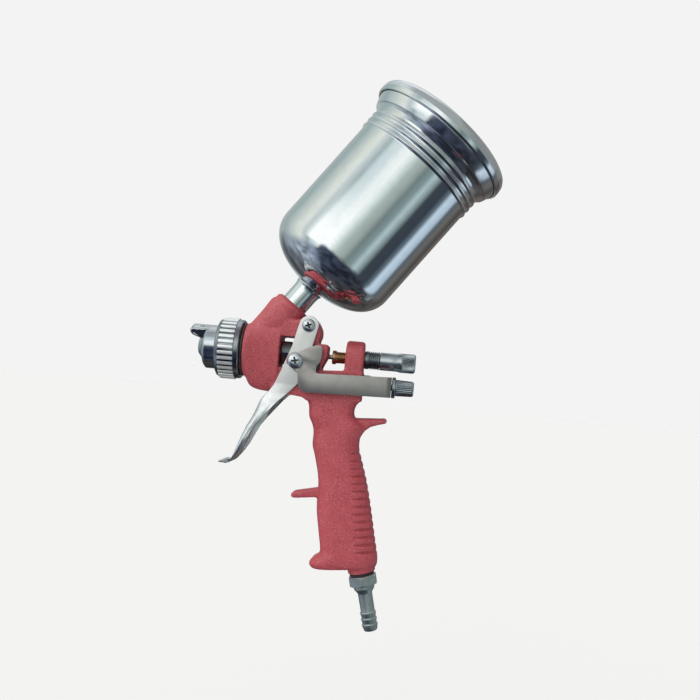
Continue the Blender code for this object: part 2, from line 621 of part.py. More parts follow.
def make_air_valve(mats):
    at = (0, 0, VALVE_Z)
    turned("valve_seal", tube_profile(VALVE_BORE_FRONT + GAP, 12.5, 5.6, 2.6), mats["black_rubber"], at)
    rod = [(12.8, 0), (12.8, 4.6), (14.4, 4.6), (14.4, 2.0), (50.2, 2.0), (50.2, 3.4), (53.3, 3.4),
           (53.3, 2.0), (65.5, 2.0), (65.5, 0)]
    turned("valve_rod", rod, mats["steel"], at, segments=20)
    place("valve_spring", coil_mesh("valve_spring", 3.6, 0.5, 14.7, 30.6, 6), mats["steel"], at,
          ALONG_NEEDLE)
    nut = place("valve_gland_nut", hexagon_mesh("valve_gland_nut", 13.0, CASTING_BACK + GAP, 41.6, 2.3),
                mats["zinc"], at, ALONG_NEEDLE)
    shank = tool("gland_shank", lathe_mesh("gland_shank", tube_profile(31.0, 39.0, 5.6, 2.3), 24),
                 at, ALONG_NEEDLE)
    combine(nut, shank, 'UNION')
    knob = [(STIRRUP_BACK + GAP, 2.2), (STIRRUP_BACK + GAP, 6.4), (56.2, 6.8), (58.0, 6.8),
            (58.3, 5.3), (VALVE_KNOB_END - 1.0, 4.9), (VALVE_KNOB_END, 4.2), (VALVE_KNOB_END, 0),
            (65.8, 0), (65.8, 2.2)]
    turned("valve_knob", knob, mats["zinc"], at, segments=28,
           knurl=(14, 0.4, 58.25, VALVE_KNOB_END - 0.9, 4.5))


# ---------------------------------------------------------------- cup

def dome_height(radius):
    """The bottom is a flattened dome."""
    share = 1.0 - (radius / CUP_R) ** DOME_POWER
    return DOME_TOP - DOME_DEPTH * max(0.0, share) ** (1.0 / DOME_POWER)


def cup_outer():
    points = [(dome_height(7.9), 7.9)]
    points += [(dome_height(r), r) for r in (18.0, 27.0, 34.0, 38.6, 41.6)]
    points += [(DOME_TOP, CUP_R), (132.8, CUP_R)]
    for centre in BEADS:
        points += [(centre - 1.5, CUP_R), (centre, CUP_R + BEAD_HEIGHT), (centre + 1.5, CUP_R)]
    points += [(148.2, CUP_R + 0.8), (151.0, CUP_R + 2.6), (151.6, CUP_R + 3.6), (154.6, MOUTH_R - 1.0),
               (157.8, MOUTH_R), (MOUTH_END, MOUTH_R)]
    return points


def make_cup(mats):
    inner = [(dome_height(7.9) + CUP_WALL, 7.9)]
    inner += [(dome_height(r) + CUP_WALL * 1.1, r - CUP_WALL / 3) for r in (16.0, 24.0, 32.0)]
    inner += [(dome_height(39.0) + CUP_WALL, 38.0), (DOME_TOP, CUP_R - CUP_WALL),
              (147.6, CUP_R - CUP_WALL), (151.4, CUP_R + 1.6), (156.0, MOUTH_R - CUP_WALL - 0.5),
              (MOUTH_END, MOUTH_R - CUP_WALL)]
    turned("cup_shell", cup_outer() + list(reversed(inner)), mats["polished"], CUP_FOOT, ALONG_CUP, 36)

    bottom = dome_height(7.9)
    neck = [(6.2, 6.0), (6.2, NECK_R), (29.0, NECK_R), (31.6, NECK_R + 0.3),
            (bottom - GAP, 10.2), (bottom - GAP, 7.6), (bottom + 6.0, 7.6), (bottom + 6.0, 6.0)]
    turned("cup_neck", neck, mats["polished"], CUP_FOOT, ALONG_CUP, 24)
    turned("cup_seal", tube_profile(4.3, 5.9, 8.8, 6.2), mats["white_seal"], CUP_FOOT, ALONG_CUP)
    place("cup_ring_nut", hexagon_mesh("cup_ring_nut", 21.0, bottom + CUP_WALL + 1.6, bottom + 5.6, 7.9),
          mats["zinc"], CUP_FOOT, ALONG_CUP)
    strainer = [(bottom - 8.0, 0), (bottom - 8.0, 4.6), (bottom + 6.3, 5.6), (bottom + 6.3, 7.2),
                (bottom + 7.1, 7.2), (bottom + 7.1, 4.8), (bottom - 7.2, 3.9), (bottom - 7.2, 0)]
    turned("cup_strainer", strainer, mats["nylon"], CUP_FOOT, ALONG_CUP)

    lid = [(LID_TOP - 0.6, 0), (LID_TOP - 0.6, 41.0), (LID_TOP, 43.0), (LID_TOP, 47.4),
           (LID_TOP - 1.2, 49.3), (LID_TOP - 3.0, LID_R - 0.5), (LID_TOP - 6.2, LID_R),
           (LID_TOP - 8.6, LID_R), (LID_TOP - 9.6, LID_R - 0.6), (LID_TOP - 9.6, MOUTH_R + 0.5),
           (LID_TOP - 4.4, MOUTH_R + 0.5), (LID_TOP - 3.0, 46.4), (LID_TOP - 2.6, 41.0),
           (LID_TOP - 1.8, 0)]
    lid = turned("cup_lid", lid, mats["polished"], CUP_FOOT, ALONG_CUP, 36)
    vent = Vector(CUP_FOOT) + Vector((math.cos(LEAN), 0, -math.sin(LEAN))) * 24.0
    drill(lid, "vent_hole", 1.2, LID_TOP - 6, LID_TOP + 4, tuple(vent), ALONG_CUP, 12)
    turned("lid_gasket", tube_profile(MOUTH_END + GAP, MOUTH_END + 1.4, MOUTH_R + 0.1, MOUTH_R - 1.6),
           mats["black_rubber"], CUP_FOOT, ALONG_CUP, 30)


# ---------------------------------------------------------------- air inlet

def make_inlet(mats):
    at = (INLET_X, 0, INLET_Z)
    turned("inlet_washer", tube_profile(2.0 + GAP, 3.4, 8.4, 6.3), mats["black_rubber"], at, DOWN_TAIL, 24)
    nut = place("inlet_nut", hexagon_mesh("inlet_nut", 17.0, 3.7, 10.2, 4.7), mats["gunmetal"], at,
                DOWN_TAIL)
    shank = tool("inlet_shank", lathe_mesh("inlet_shank", tube_profile(-12.0, 5.0, 5.9, 4.7), 24),
                 at, DOWN_TAIL)
    combine(nut, shank, 'UNION')
    barbs = []
    for start in (27.4, 31.2, 34.8):
        barbs += [(start, 4.5), (start, 5.2), (start + 3.0, 4.5)]
    tail = [(-8.0, 2.6), (-8.0, 4.4), (10.5, 4.4), (10.5, 6.6), (12.4, 6.6), (15.2, 4.6)]
    tail += barbs + [(TAIL_END, 4.0), (TAIL_END, 2.6)]
    turned("hose_tail", tail, mats["gunmetal"], at, DOWN_TAIL, 18)


def main():
    global DATUM
    clear_scene()
    DATUM = bpy.data.objects.new("datum", None)
    SCENE.collection.objects.link(DATUM)
    DATUM.location = (-GRIP_X * MM, 0, -GRIP_Z * MM)
    mats = {
        "red": make_material("red_powder_coat", (0.36, 0.06, 0.08), 0.6, 0.0),
        "chrome": make_material("chrome", (0.55, 0.57, 0.58), 0.2, 1.0),
        "dark_chrome": make_material("dark_chrome", (0.35, 0.36, 0.38), 0.25, 1.0),
        "polished": make_material("polished_aluminium", (0.72, 0.74, 0.74), 0.16, 1.0),
        "nickel": make_material("satin_nickel", (0.6, 0.6, 0.57), 0.35, 1.0),
        "satin_steel": make_material("satin_steel", (0.42, 0.42, 0.39), 0.42, 1.0),
        "zinc": make_material("zinc_plate", (0.48, 0.51, 0.53), 0.33, 1.0),
        "steel": make_material("steel", (0.55, 0.55, 0.55), 0.25, 1.0),
        "brass": make_material("brass", (0.45, 0.3, 0.16), 0.35, 1.0),
        "gunmetal": make_material("hose_tail_plate", (0.3, 0.33, 0.32), 0.45, 1.0),
        "black_rubber": make_material("black_rubber", (0.03, 0.03, 0.035), 0.6, 0.0),
        "white_seal": make_material("white_seal", (0.8, 0.8, 0.78), 0.5, 0.0),
        "nylon": make_material("nylon", (0.8, 0.79, 0.72), 0.5, 0.0),
    }
    make_gun_body(mats["red"])
    make_front(mats)
    make_needle(mats)
    make_needle_control(mats)
    make_trigger(mats)
    make_stirrup(mats)
    make_linkage_pins(mats)
    make_air_valve(mats)
    make_cup(mats)
    make_inlet(mats)


main()
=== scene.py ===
"""Looks of the gravity-feed spray gun: finer pieces, materials, studio and camera.

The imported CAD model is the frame. Shapes are drawn in millimetres in the gun's own datum: the fluid
needle lies on the X axis with the nozzle towards -X, +Z is up, Y = 0 is the plane of symmetry and
X = 0 is under the trigger pivot. Each piece is then placed in the frame, in metres.
"""
import json
import math

import bmesh
import bpy
import numpy as np
from mathutils import Matrix, Vector

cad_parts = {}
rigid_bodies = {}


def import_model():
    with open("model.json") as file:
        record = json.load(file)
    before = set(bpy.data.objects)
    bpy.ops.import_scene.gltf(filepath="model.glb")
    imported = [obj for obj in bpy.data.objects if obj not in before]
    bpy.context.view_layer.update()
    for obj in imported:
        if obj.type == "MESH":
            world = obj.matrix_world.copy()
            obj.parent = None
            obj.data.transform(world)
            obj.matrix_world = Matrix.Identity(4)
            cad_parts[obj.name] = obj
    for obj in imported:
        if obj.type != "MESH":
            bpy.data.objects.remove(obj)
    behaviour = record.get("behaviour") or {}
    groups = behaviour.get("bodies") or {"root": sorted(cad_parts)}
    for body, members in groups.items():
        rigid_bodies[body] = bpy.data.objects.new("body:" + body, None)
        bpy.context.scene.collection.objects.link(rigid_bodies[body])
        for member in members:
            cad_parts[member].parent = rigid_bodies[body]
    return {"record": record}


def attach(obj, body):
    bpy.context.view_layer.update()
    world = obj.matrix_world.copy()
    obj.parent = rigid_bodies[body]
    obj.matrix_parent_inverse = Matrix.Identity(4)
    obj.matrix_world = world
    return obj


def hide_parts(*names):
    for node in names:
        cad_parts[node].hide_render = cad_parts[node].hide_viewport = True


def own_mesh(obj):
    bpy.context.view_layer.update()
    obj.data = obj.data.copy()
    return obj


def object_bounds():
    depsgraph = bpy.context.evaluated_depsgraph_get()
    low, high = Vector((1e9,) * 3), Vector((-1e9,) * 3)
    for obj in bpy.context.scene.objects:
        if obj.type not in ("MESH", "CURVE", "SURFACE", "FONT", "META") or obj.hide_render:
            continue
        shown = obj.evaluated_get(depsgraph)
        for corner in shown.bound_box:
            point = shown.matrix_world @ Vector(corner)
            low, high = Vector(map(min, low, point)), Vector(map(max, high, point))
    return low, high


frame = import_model()
cad_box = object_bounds()

MM = 0.001
GRIP_X, GRIP_Z = 29.0, -75.0                    # the frame's origin in the gun's datum
GAP = 0.3

BODY_HALF = 10.8
TRIGGER_IN, TRIGGER_OUT = 11.2, 12.8
STIRRUP_IN, STIRRUP_OUT = 13.1, 14.8
PIVOT_X, PIVOT_Z = 0.0, 18.3
LINK_X, LINK_Z = -6.4, -4.9
VALVE_Z = -16.3
HEAD_FRONT = -40.8
RING_R = 20.0
RING_BARS = 34
CAP_R = 14.2
HORN_HALF, HORN_TIP = 4.2, -76.9
NEEDLE_R = 1.5
BARREL_END, THREAD_R, THREAD_END = 46.5, 4.6, 58.3
CUP_LEAN = math.radians(36.6)
CUP_AXIS_OFFSET = 28.8
CUP_R, CUP_WALL = 43.2, 1.2
CUP_HOLE = 7.9
DOME_DEPTH, DOME_TOP, DOME_POWER = 27.0, 60.5, 2.2
LID_TOP = 167.6
INLET_X, INLET_Z = 46.5, -133.2
RAKE = math.radians(14.0)
VOXEL = 0.45                                    # the casting's edges are rounded over about this far


def shift(x, y, z):
    return Matrix.Translation((x, y, z))


def spin(angle, axis):
    return Matrix.Rotation(angle, 4, axis)


DATUM = shift(-GRIP_X * MM, 0, -GRIP_Z * MM) @ Matrix.Scale(MM, 4)
NEEDLE = spin(math.pi / 2, 'Y')                 # local Z runs along +X
VALVE = shift(0, 0, VALVE_Z) @ NEEDLE
CUP = spin(CUP_LEAN, 'Y') @ shift(-CUP_AXIS_OFFSET, 0, 0)
TAIL = shift(INLET_X, 0, INLET_Z) @ spin(math.pi - RAKE, 'Y')
NEAR = spin(math.pi / 2, 'X')                   # local Z runs along -Y
FAR = spin(-math.pi / 2, 'X')                   # local Z runs along +Y
PIVOT = shift(PIVOT_X, 0, PIVOT_Z) @ NEAR
LINK = shift(LINK_X, 0, LINK_Z) @ NEAR
HERE = Matrix.Identity(4)

SCENE = bpy.context.scene
BODY_OF = {node: body for body, nodes in frame["record"]["behaviour"]["bodies"].items() for node in nodes}


# ---------------------------------------------------------------- outlines and profiles

OVAL_POINTS = 72


def rounded(points, radius, steps=3, closed=True):
    """Rounds the corners of a line of (a, b) points; a third value is that corner's own radius."""
    out = []
    count = len(points)
    for i, point in enumerate(points):
        here = Vector(point[:2])
        size = point[2] if len(point) > 2 else radius
        if (not closed and i in (0, count - 1)) or size <= 0:
            out.append(tuple(here))
            continue
        before = Vector(points[i - 1][:2]) - here
        after = Vector(points[(i + 1) % count][:2]) - here
        if before.length < 1e-6 or after.length < 1e-6:
            continue
        turn = math.pi - before.angle(after)
        if turn < math.radians(7):
            out.append(tuple(here))
            continue
        reach = min(size * math.tan(turn / 2), 0.48 * before.length, 0.48 * after.length)
        start = here + before.normalized() * reach
        end = here + after.normalized() * reach
        for k in range(steps + 1):
            t = k / steps
            out.append(tuple((1 - t) ** 2 * start + 2 * t * (1 - t) * here + t * t * end))
    return out


def tube(low, high, bore, radius):
    """The profile of a plain ring or sleeve."""
    return [(low, bore), (low, radius), (high, radius), (high, bore)]


def arc(centre_x, centre_z, radius, from_deg, to_deg, steps):
    points = []
    for i in range(steps + 1):
        angle = math.radians(from_deg + (to_deg - from_deg) * i / steps)
        points.append((centre_x + radius * math.cos(angle), centre_z + radius * math.sin(angle)))
    return points


def spline(rows, steps):
    """Catmull-Rom curve through rows of numbers."""
    data = np.array(rows, float)
    padded = np.vstack([2 * data[0] - data[1], data, 2 * data[-1] - data[-2]])
    out = []
    for i in range(len(data) - 1):
        a, b, c, d = padded[i:i + 4]
        for k in range(steps):
            t = k / steps
            out.append(0.5 * (2 * b + (c - a) * t + (2 * a - 5 * b + 4 * c - d) * t * t
                              + (3 * b - a - 3 * c + d) * t ** 3))
    out.append(data[-1])
    return out


def oval(front, back, half_width, power):
    """A closed curve between an ellipse (power 2) and a rectangle (high power)."""
    points = []
    for i in range(OVAL_POINTS):
        angle = 2 * math.pi * i / OVAL_POINTS
        c, s = math.cos(angle), math.sin(angle)
        points.append(((front + back) / 2 + (back - front) / 2 * math.copysign(abs(c) ** (2 / power), c),
                       half_width * math.copysign(abs(s) ** (2 / power), s)))
    return points


# ---------------------------------------------------------------- meshes, in millimetres

def to_mesh(name, bm):
    bmesh.ops.recalc_face_normals(bm, faces=bm.faces)
    mesh = bpy.data.meshes.new(name)
    bm.to_mesh(mesh)
    bm.free()
    return mesh


def bridge(bm, first, second):
    count = max(len(first), len(second))
    for i in range(count):
        j = (i + 1) % count
        corners = [first[i % len(first)], first[j % len(first)],
                   second[j % len(second)], second[i % len(second)]]
        bm.faces.new(list(dict.fromkeys(corners)))


def lathe(name, profile, segments=96, shape=None):
    """Turns (along, radius) points about local Z. shape(angle, along, radius) may change a radius."""
    bm = bmesh.new()
    rings = []
    for along, radius in profile:
        if radius < 1e-6:
            rings.append([bm.verts.new((0, 0, along))])
            continue
        ring = []
        for i in range(segments):
            angle = 2 * math.pi * i / segments
            r = shape(angle, along, radius) if shape else radius
            ring.append(bm.verts.new((r * math.cos(angle), r * math.sin(angle), along)))
        rings.append(ring)
    for first, second in zip(rings, rings[1:] + rings[:1]):
        if len(first) > 1 or len(second) > 1:
            bridge(bm, first, second)
    return to_mesh(name, bm)


def slab(name, outline, low, high, bevel=0.3, steps=3, across="Y"):
    """Extrudes a closed outline and rounds its rims. bevel is one radius or a function of a point."""
    area = sum(a[0] * b[1] - b[0] * a[1] for a, b in zip(outline, outline[1:] + outline[:1]))
    side = 1 if area > 0 else -1
    inward = []
    for i, here in enumerate(outline):
        before = Vector(here) - Vector(outline[i - 1])
        after = Vector(outline[(i + 1) % len(outline)]) - Vector(here)
        tangent = before.normalized() + after.normalized()
        tangent = tangent.normalized() if tangent.length > 1e-6 else after.normalized()
        inward.append(Vector((-tangent.y, tangent.x)) * side)
    size = [bevel(p) if callable(bevel) else bevel for p in outline]
    bm = bmesh.new()
    rings = []
    steps = steps if any(size) else 0
    for end, way in ((low, 1), (high, -1)):
        made = []
        for k in range(steps + 1):
            angle = math.pi / 2 * k / max(steps, 1)
            ring = []
            for p, n, r in zip(outline, inward, size):
                a, b = Vector(p) + n * r * (1 - math.sin(angle))
                level = end + way * r * (1 - math.cos(angle))
                ring.append(bm.verts.new((a, level, b) if across == "Y" else
                                         (a, b, level) if across == "Z" else (level, a, b)))
            made.append(ring)
        rings += made if way == 1 else list(reversed(made))
    bm.faces.new(rings[0])
    bm.faces.new(list(reversed(rings[-1])))
    for first, second in zip(rings, rings[1:]):
        bridge(bm, first, second)
    return to_mesh(name, bm)


def loft(name, rings):
    """A skin over closed rings of points, one after another."""
    bm = bmesh.new()
    made = [[bm.verts.new(p) for p in ring] for ring in rings]
    for first, second in zip(made, made[1:]):
        bridge(bm, first, second)
    bm.faces.new(made[0])
    bm.faces.new(list(reversed(made[-1])))
    return to_mesh(name, bm)


def placed(mesh, matrix):
    mesh.transform(matrix)
    return mesh


def evaluated(obj):
    return bpy.data.meshes.new_from_object(obj.evaluated_get(bpy.context.evaluated_depsgraph_get()))


def combined(first, others, operation):
    """first joined with, or cut by, or kept inside, the other meshes, as one new mesh."""
    target = bpy.data.objects.new("work", first)
    SCENE.collection.objects.link(target)
    group = bpy.data.collections.new("work_tools")
    SCENE.collection.children.link(group)
    for mesh in others:
        group.objects.link(bpy.data.objects.new(mesh.name, mesh))
    mod = target.modifiers.new("combine", 'BOOLEAN')
    mod.operation = operation
    mod.solver = 'EXACT'
    mod.operand_type = 'COLLECTION'
    mod.collection = group
    made = evaluated(target)
    for helper in list(group.objects) + [target]:
        bpy.data.objects.remove(helper)
    bpy.data.collections.remove(group)
    return made


def joined(meshes):
    """Several meshes as one, still as separate shells."""
    bm = bmesh.new()
    for mesh in meshes:
        bm.from_mesh(mesh)
    return to_mesh("joined", bm)


def modified(mesh, steps):
    """A mesh put through modifiers: steps are (type, {setting: value})."""
    target = bpy.data.objects.new("work", mesh)
    SCENE.collection.objects.link(target)
    for kind, settings in steps:
        mod = target.modifiers.new(kind.lower(), kind)
        for key, value in settings.items():
            setattr(mod, key, value)
    made = evaluated(target)
    bpy.data.objects.remove(target)
    return made


def eased(mesh, width, angle, segments=2):
    """Breaks the sharp edges of a sheet-metal or machined piece."""
    return modified(mesh, [('BEVEL', {"width": width, "segments": segments, "limit_method": 'ANGLE',
                                      "angle_limit": math.radians(angle), "miter_outer": 'MITER_ARC',
                                      "use_clamp_overlap": True, "loop_slide": True})])


def piece(name, mesh, matrix, material, node, sharp=40, second=None, where=None):
    """Shows a mesh drawn in millimetres in place of a CAD node, on the body that the node rides on.
    Faces whose centre passes the test `where` are given the second material."""
    mesh.transform(Matrix.Scale(MM, 4))
    obj = bpy.data.objects.new(name, mesh)
    SCENE.collection.objects.link(obj)
    scale_free = DATUM @ matrix
    obj.matrix_world = Matrix.LocRotScale(scale_free.to_translation(),
                                          scale_free.to_quaternion(), Vector((1, 1, 1)))
    mesh.materials.clear()
    mesh.materials.append(MATS[material])
    if second:
        mesh.materials.append(MATS[second])
        for face in mesh.polygons:
            face.material_index = int(where(face.center / MM))
    mesh.shade_smooth()
    mesh.set_sharp_from_angle(angle=math.radians(sharp))
    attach(obj, BODY_OF[node])
    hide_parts(node)
    return obj


def turned(name, profile, segments, matrix, material, node, radius=0.3, steps=3, closed=True, **looks):
    """A piece turned on a lathe, with its corners eased."""
    mesh = lathe(name, rounded(profile, radius, steps, closed), segments)
    return piece(name, mesh, matrix, material, node, **looks)


def drill(low, high, radius, matrix, segments):
    """A straight cutter along local Z."""
    return placed(lathe("drill", tube(low, high, 0, radius), segments), matrix)


# ---------------------------------------------------------------- materials

class Nodes:
    """A node tree built in few words: every call adds a node and returns its first output."""

    def __init__(self, tree):
        self.tree = tree

    def add(self, kind, inputs=None, output=0, **settings):
        made = self.tree.nodes.new(kind)
        for key, value in settings.items():
            setattr(made, key, value)
        for key, value in (inputs or {}).items():
            self.feed(made.inputs[key], value)
        return made.outputs[output]

    def feed(self, socket, value):
        if isinstance(value, bpy.types.NodeSocket):
            self.tree.links.new(value, socket)
        elif socket.type == 'RGBA' and len(value) == 3:
            socket.default_value = (*value, 1.0)
        else:
            socket.default_value = value

    def math(self, operation, a, b):
        return self.add("ShaderNodeMath", {0: a, 1: b}, operation=operation)

    def plus(self, a, b):
        return self.math('ADD', a, b)

    def minus(self, a, b):
        return self.math('SUBTRACT', a, b)

    def times(self, a, b):
        return self.math('MULTIPLY', a, b)

    def ramp(self, value, stops, interpolation='LINEAR'):
        """Maps a number through (place, grey or colour) stops."""
        made = self.tree.nodes.new("ShaderNodeValToRGB")
        made.color_ramp.interpolation = interpolation
        elements = made.color_ramp.elements
        while len(elements) < len(stops):
            elements.new(0.5)
        for element, (place, colour) in zip(elements, stops):
            element.position = place
            element.color = (colour, colour, colour, 1) if isinstance(colour, float) else (*colour, 1)
        self.feed(made.inputs["Fac"], value)
        return made.outputs["Color"]

    def mix(self, share, a, b):
        made = self.tree.nodes.new("ShaderNodeMix")
        made.data_type = 'RGBA'
        self.feed(made.inputs[0], share)
        self.feed(made.inputs[6], a)
        self.feed(made.inputs[7], b)
        return made.outputs[2]

    def noise(self, scale, detail=3.0, roughness=0.55, vector=None, stretch=None):
        """Noise in the piece's own coordinates; stretch scales them along its axes first."""
        vector = vector or self.add("ShaderNodeTexCoord", output=3)
        if stretch:
            vector = self.add("ShaderNodeMapping", {"Vector": vector, "Scale": stretch})
        return self.add("ShaderNodeTexNoise", {"Vector": vector, "Scale": scale, "Detail": detail,
                                               "Roughness": roughness})

    def bump(self, height, strength, distance, normal=None):
        inputs = {"Height": height, "Strength": strength, "Distance": distance}
        if normal:
            inputs["Normal"] = normal
        return self.add("ShaderNodeBump", inputs)


MATS = {}


def new_material(name, **inputs):
    """Keeps a new material in MATS under its name, and gives its node tree and its shader."""
    mat = bpy.data.materials.new(name)
    mat.use_nodes = True
    MATS[name] = mat
    nodes = Nodes(mat.node_tree)
    shader = mat.node_tree.nodes["Principled BSDF"]
    for key, value in inputs.items():
        nodes.feed(shader.inputs[key.replace("_", " ")], value)
    return nodes, shader


def powder_coat():
    """Wrinkled red powder coat with bright flakes in it, and a paler bloom on the edges."""
    n, shader = new_material("red_powder_coat", Specular_IOR_Level=0.7)
    grain = n.noise(3400, 3.0, 0.6)
    coarse = n.noise(1150, 2.0, 0.5)
    blotch = n.noise(90, 3.0, 0.55)
    deep, mid, pale = (0.23, 0.018, 0.027), (0.375, 0.040, 0.054), (0.53, 0.105, 0.125)
    base = n.mix(n.ramp(blotch, [(0.35, 0.0), (0.68, 1.0)]), mid, (0.42, 0.055, 0.071))
    base = n.mix(n.ramp(coarse, [(0.30, 1.0), (0.47, 0.0)]), base, deep)
    base = n.mix(n.ramp(grain, [(0.55, 0.0), (0.78, 0.75)]), base, pale)
    flakes = n.tree.nodes.new("ShaderNodeTexVoronoi")
    n.feed(flakes.inputs["Vector"], n.add("ShaderNodeTexCoord", output=3))
    n.feed(flakes.inputs["Scale"], 2300.0)
    pick = n.add("ShaderNodeSeparateColor", {0: flakes.outputs["Color"]})
    chosen = n.math('GREATER_THAN', pick, 0.93)
    centre = n.math('LESS_THAN', flakes.outputs["Distance"], 0.42)
    flake = n.times(chosen, centre)
    base = n.mix(n.times(flake, 0.5), base, (0.78, 0.46, 0.48))
    edge = n.ramp(n.add("ShaderNodeNewGeometry", output=7), [(0.515, 0.0), (0.57, 0.55)])
    base = n.mix(edge, base, (0.50, 0.12, 0.14))
    n.feed(shader.inputs["Base Color"], base)
    n.feed(shader.inputs["Roughness"], n.minus(0.52, n.times(flake, 0.25)))
    height = n.plus(n.times(grain, 0.45), coarse)
    n.feed(shader.inputs["Normal"], n.bump(height, 0.9, 0.00022))


def metal(name, colour, roughness, dull, spots, rings=0.0, wipe=0.0, grain=0.0, metallic=1.0):
    """Bare or plated metal. dull is the tone of tarnish and spots its strength, rings is the strength
    of lathe marks about local Z, wipe of polishing lines along local Z, and grain of fine pits."""
    n, shader = new_material(name, Metallic=metallic)
    patches = n.noise(160, 4.0, 0.6)
    smears = n.noise(45, 3.0, 0.6)
    n.feed(shader.inputs["Base Color"],
           n.mix(n.ramp(patches, [(0.42, 0.0), (0.72, spots)]), colour, dull))
    rough = n.plus(roughness * 0.75, n.times(smears, roughness * 0.5))
    rough = n.plus(rough, n.times(n.ramp(patches, [(0.5, 0.0), (0.75, 1.0)]), 0.06))
    n.feed(shader.inputs["Roughness"], rough)
    normal = None
    if rings:
        marks = n.noise(1.0, 3.0, 0.6, stretch=(60, 60, 9000))
        normal = n.bump(marks, rings, 0.00002)
    if wipe:
        lines = n.noise(1.0, 3.0, 0.6, stretch=(1500, 1500, 25))
        normal = n.bump(lines, wipe, 0.00002, normal)
    if grain:
        pits = n.noise(3200, 2.0, 0.6)
        normal = n.bump(pits, grain, 0.00003, normal)
    if normal:
        n.feed(shader.inputs["Normal"], normal)


def pressed_nickel():
    """Satin nickel on the trigger's straps; the lever below is shinier and drawn into shallow hollows."""
    n, shader = new_material("pressed_nickel", Metallic=1.0)
    where = n.add("ShaderNodeTexCoord", output=3)
    height = n.add("ShaderNodeSeparateXYZ", {0: where}, output=2)
    lever = n.ramp(n.times(height, -10.0), [(0.20, 0.0), (0.33, 1.0)])
    stains = n.noise(140, 4.0, 0.6)
    strap = n.mix(n.ramp(stains, [(0.42, 0.0), (0.72, 0.35)]), (0.77, 0.755, 0.745), (0.61, 0.595, 0.575))
    bright = n.mix(n.ramp(stains, [(0.42, 0.0), (0.72, 0.5)]), (0.82, 0.83, 0.84), (0.50, 0.51, 0.52))
    n.feed(shader.inputs["Base Color"], n.mix(lever, strap, bright))
    rough = n.minus(0.30, n.times(lever, 0.13))
    n.feed(shader.inputs["Roughness"], n.plus(rough, n.times(stains, 0.05)))
    along_lever = n.add("ShaderNodeMapping", {"Vector": where, "Rotation": (0, math.radians(-26), 0)})
    hollows = n.times(n.noise(1.0, 1.0, 0.5, vector=along_lever, stretch=(150, 60, 45)), lever)
    grain = n.noise(3200, 2.0, 0.6)
    normal = n.bump(hollows, 0.7, 0.0018)
    n.feed(shader.inputs["Normal"], n.bump(grain, 0.3, 0.00003, normal))


def soft_plastic(name, colour, roughness, pale):
    """Rubber, nylon or a white seal: a little dust in patches and a fine mould texture."""
    n, shader = new_material(name)
    dust = n.noise(220, 4.0, 0.65)
    n.feed(shader.inputs["Base Color"], n.mix(n.ramp(dust, [(0.4, 0.0), (0.75, 1.0)]), colour, pale))
    n.feed(shader.inputs["Roughness"], n.plus(roughness, n.times(dust, 0.15)))
    n.feed(shader.inputs["Normal"], n.bump(n.noise(2400, 2.0), 0.25, 0.00004))


def make_materials():
    powder_coat()
    pressed_nickel()
    metal("chrome", (0.66, 0.68, 0.70), 0.10, (0.42, 0.43, 0.45), 0.5, rings=0.25)
    metal("dark_chrome", (0.36, 0.38, 0.41), 0.15, (0.16, 0.17, 0.19), 0.6, rings=0.2)
    # Paler, rougher chrome for the retaining ring's bar faces: partly wear, partly a painted highlight
    # that makes the bars read bright.
    metal("worn_bars_painted_highlight", (0.88, 0.91, 0.90), 0.36, (0.62, 0.65, 0.64), 0.5, grain=0.3, metallic=0.7)
    metal("polished_aluminium", (0.82, 0.84, 0.845), 0.07, (0.55, 0.57, 0.58), 0.2, rings=0.12, wipe=0.22)
    metal("satin_steel", (0.42, 0.39, 0.375), 0.32, (0.32, 0.295, 0.27), 0.5, grain=0.4)
    metal("zinc_plate", (0.47, 0.51, 0.54), 0.27, (0.27, 0.29, 0.30), 0.7, grain=0.3)
    metal("zinc_barrel", (0.58, 0.63, 0.66), 0.27, (0.24, 0.26, 0.27), 0.8, rings=0.25, grain=0.3)
    metal("dark_zinc", (0.27, 0.30, 0.31), 0.30, (0.12, 0.13, 0.135), 0.7, rings=0.3)
    metal("screw_zinc", (0.72, 0.76, 0.79), 0.22, (0.45, 0.48, 0.50), 0.4)
    metal("steel", (0.60, 0.60, 0.60), 0.2, (0.40, 0.39, 0.37), 0.3, rings=0.3)
    metal("brass", (0.56, 0.33, 0.17), 0.27, (0.26, 0.15, 0.09), 0.7, rings=0.4)
    metal("hose_tail_plate", (0.56, 0.63, 0.61), 0.42, (0.36, 0.40, 0.385), 0.7, grain=0.5)
    soft_plastic("black_rubber", (0.018, 0.018, 0.02), 0.5, (0.05, 0.05, 0.052))
    # Near-black material for the faces down in the screws' cross recesses: painted shade where the recess
    # lies in shadow.
    soft_plastic("recess", (0.03, 0.032, 0.035), 0.6, (0.07, 0.07, 0.07))
    soft_plastic("white_seal", (0.78, 0.78, 0.75), 0.4, (0.66, 0.65, 0.60))
    soft_plastic("nylon", (0.74, 0.73, 0.66), 0.4, (0.62, 0.60, 0.52))


# ---------------------------------------------------------------- the casting

def head_lump():
    """The head round the fluid chamber, as ovals (x, lowest z, highest z, half width, power)."""
    sections = [
        (HEAD_FRONT, -17.2, 17.2, 17.2, 2.0), (-39.3, -18.0, 17.5, 17.3, 2.0),
        (-38.2, -19.8, 18.4, 16.9, 2.1), (-36.6, -22.4, 19.2, 16.4, 2.2), (-35.0, -23.8, 20.0, 15.8, 2.2),
        (-31.0, -25.1, 21.5, 14.6, 2.4), (-26.0, -25.7, 22.0, 13.6, 2.6),
        (-21.5, -26.1, 22.0, 12.8, 2.8), (-17.6, -26.4, 22.0, 12.3, 3.0),
    ]
    rings = []
    for x, low, high, half, power in spline(sections, 5):
        rings.append([(x, across, along) for along, across in oval(low, high, half, power)])
    return loft("head_lump", rings)


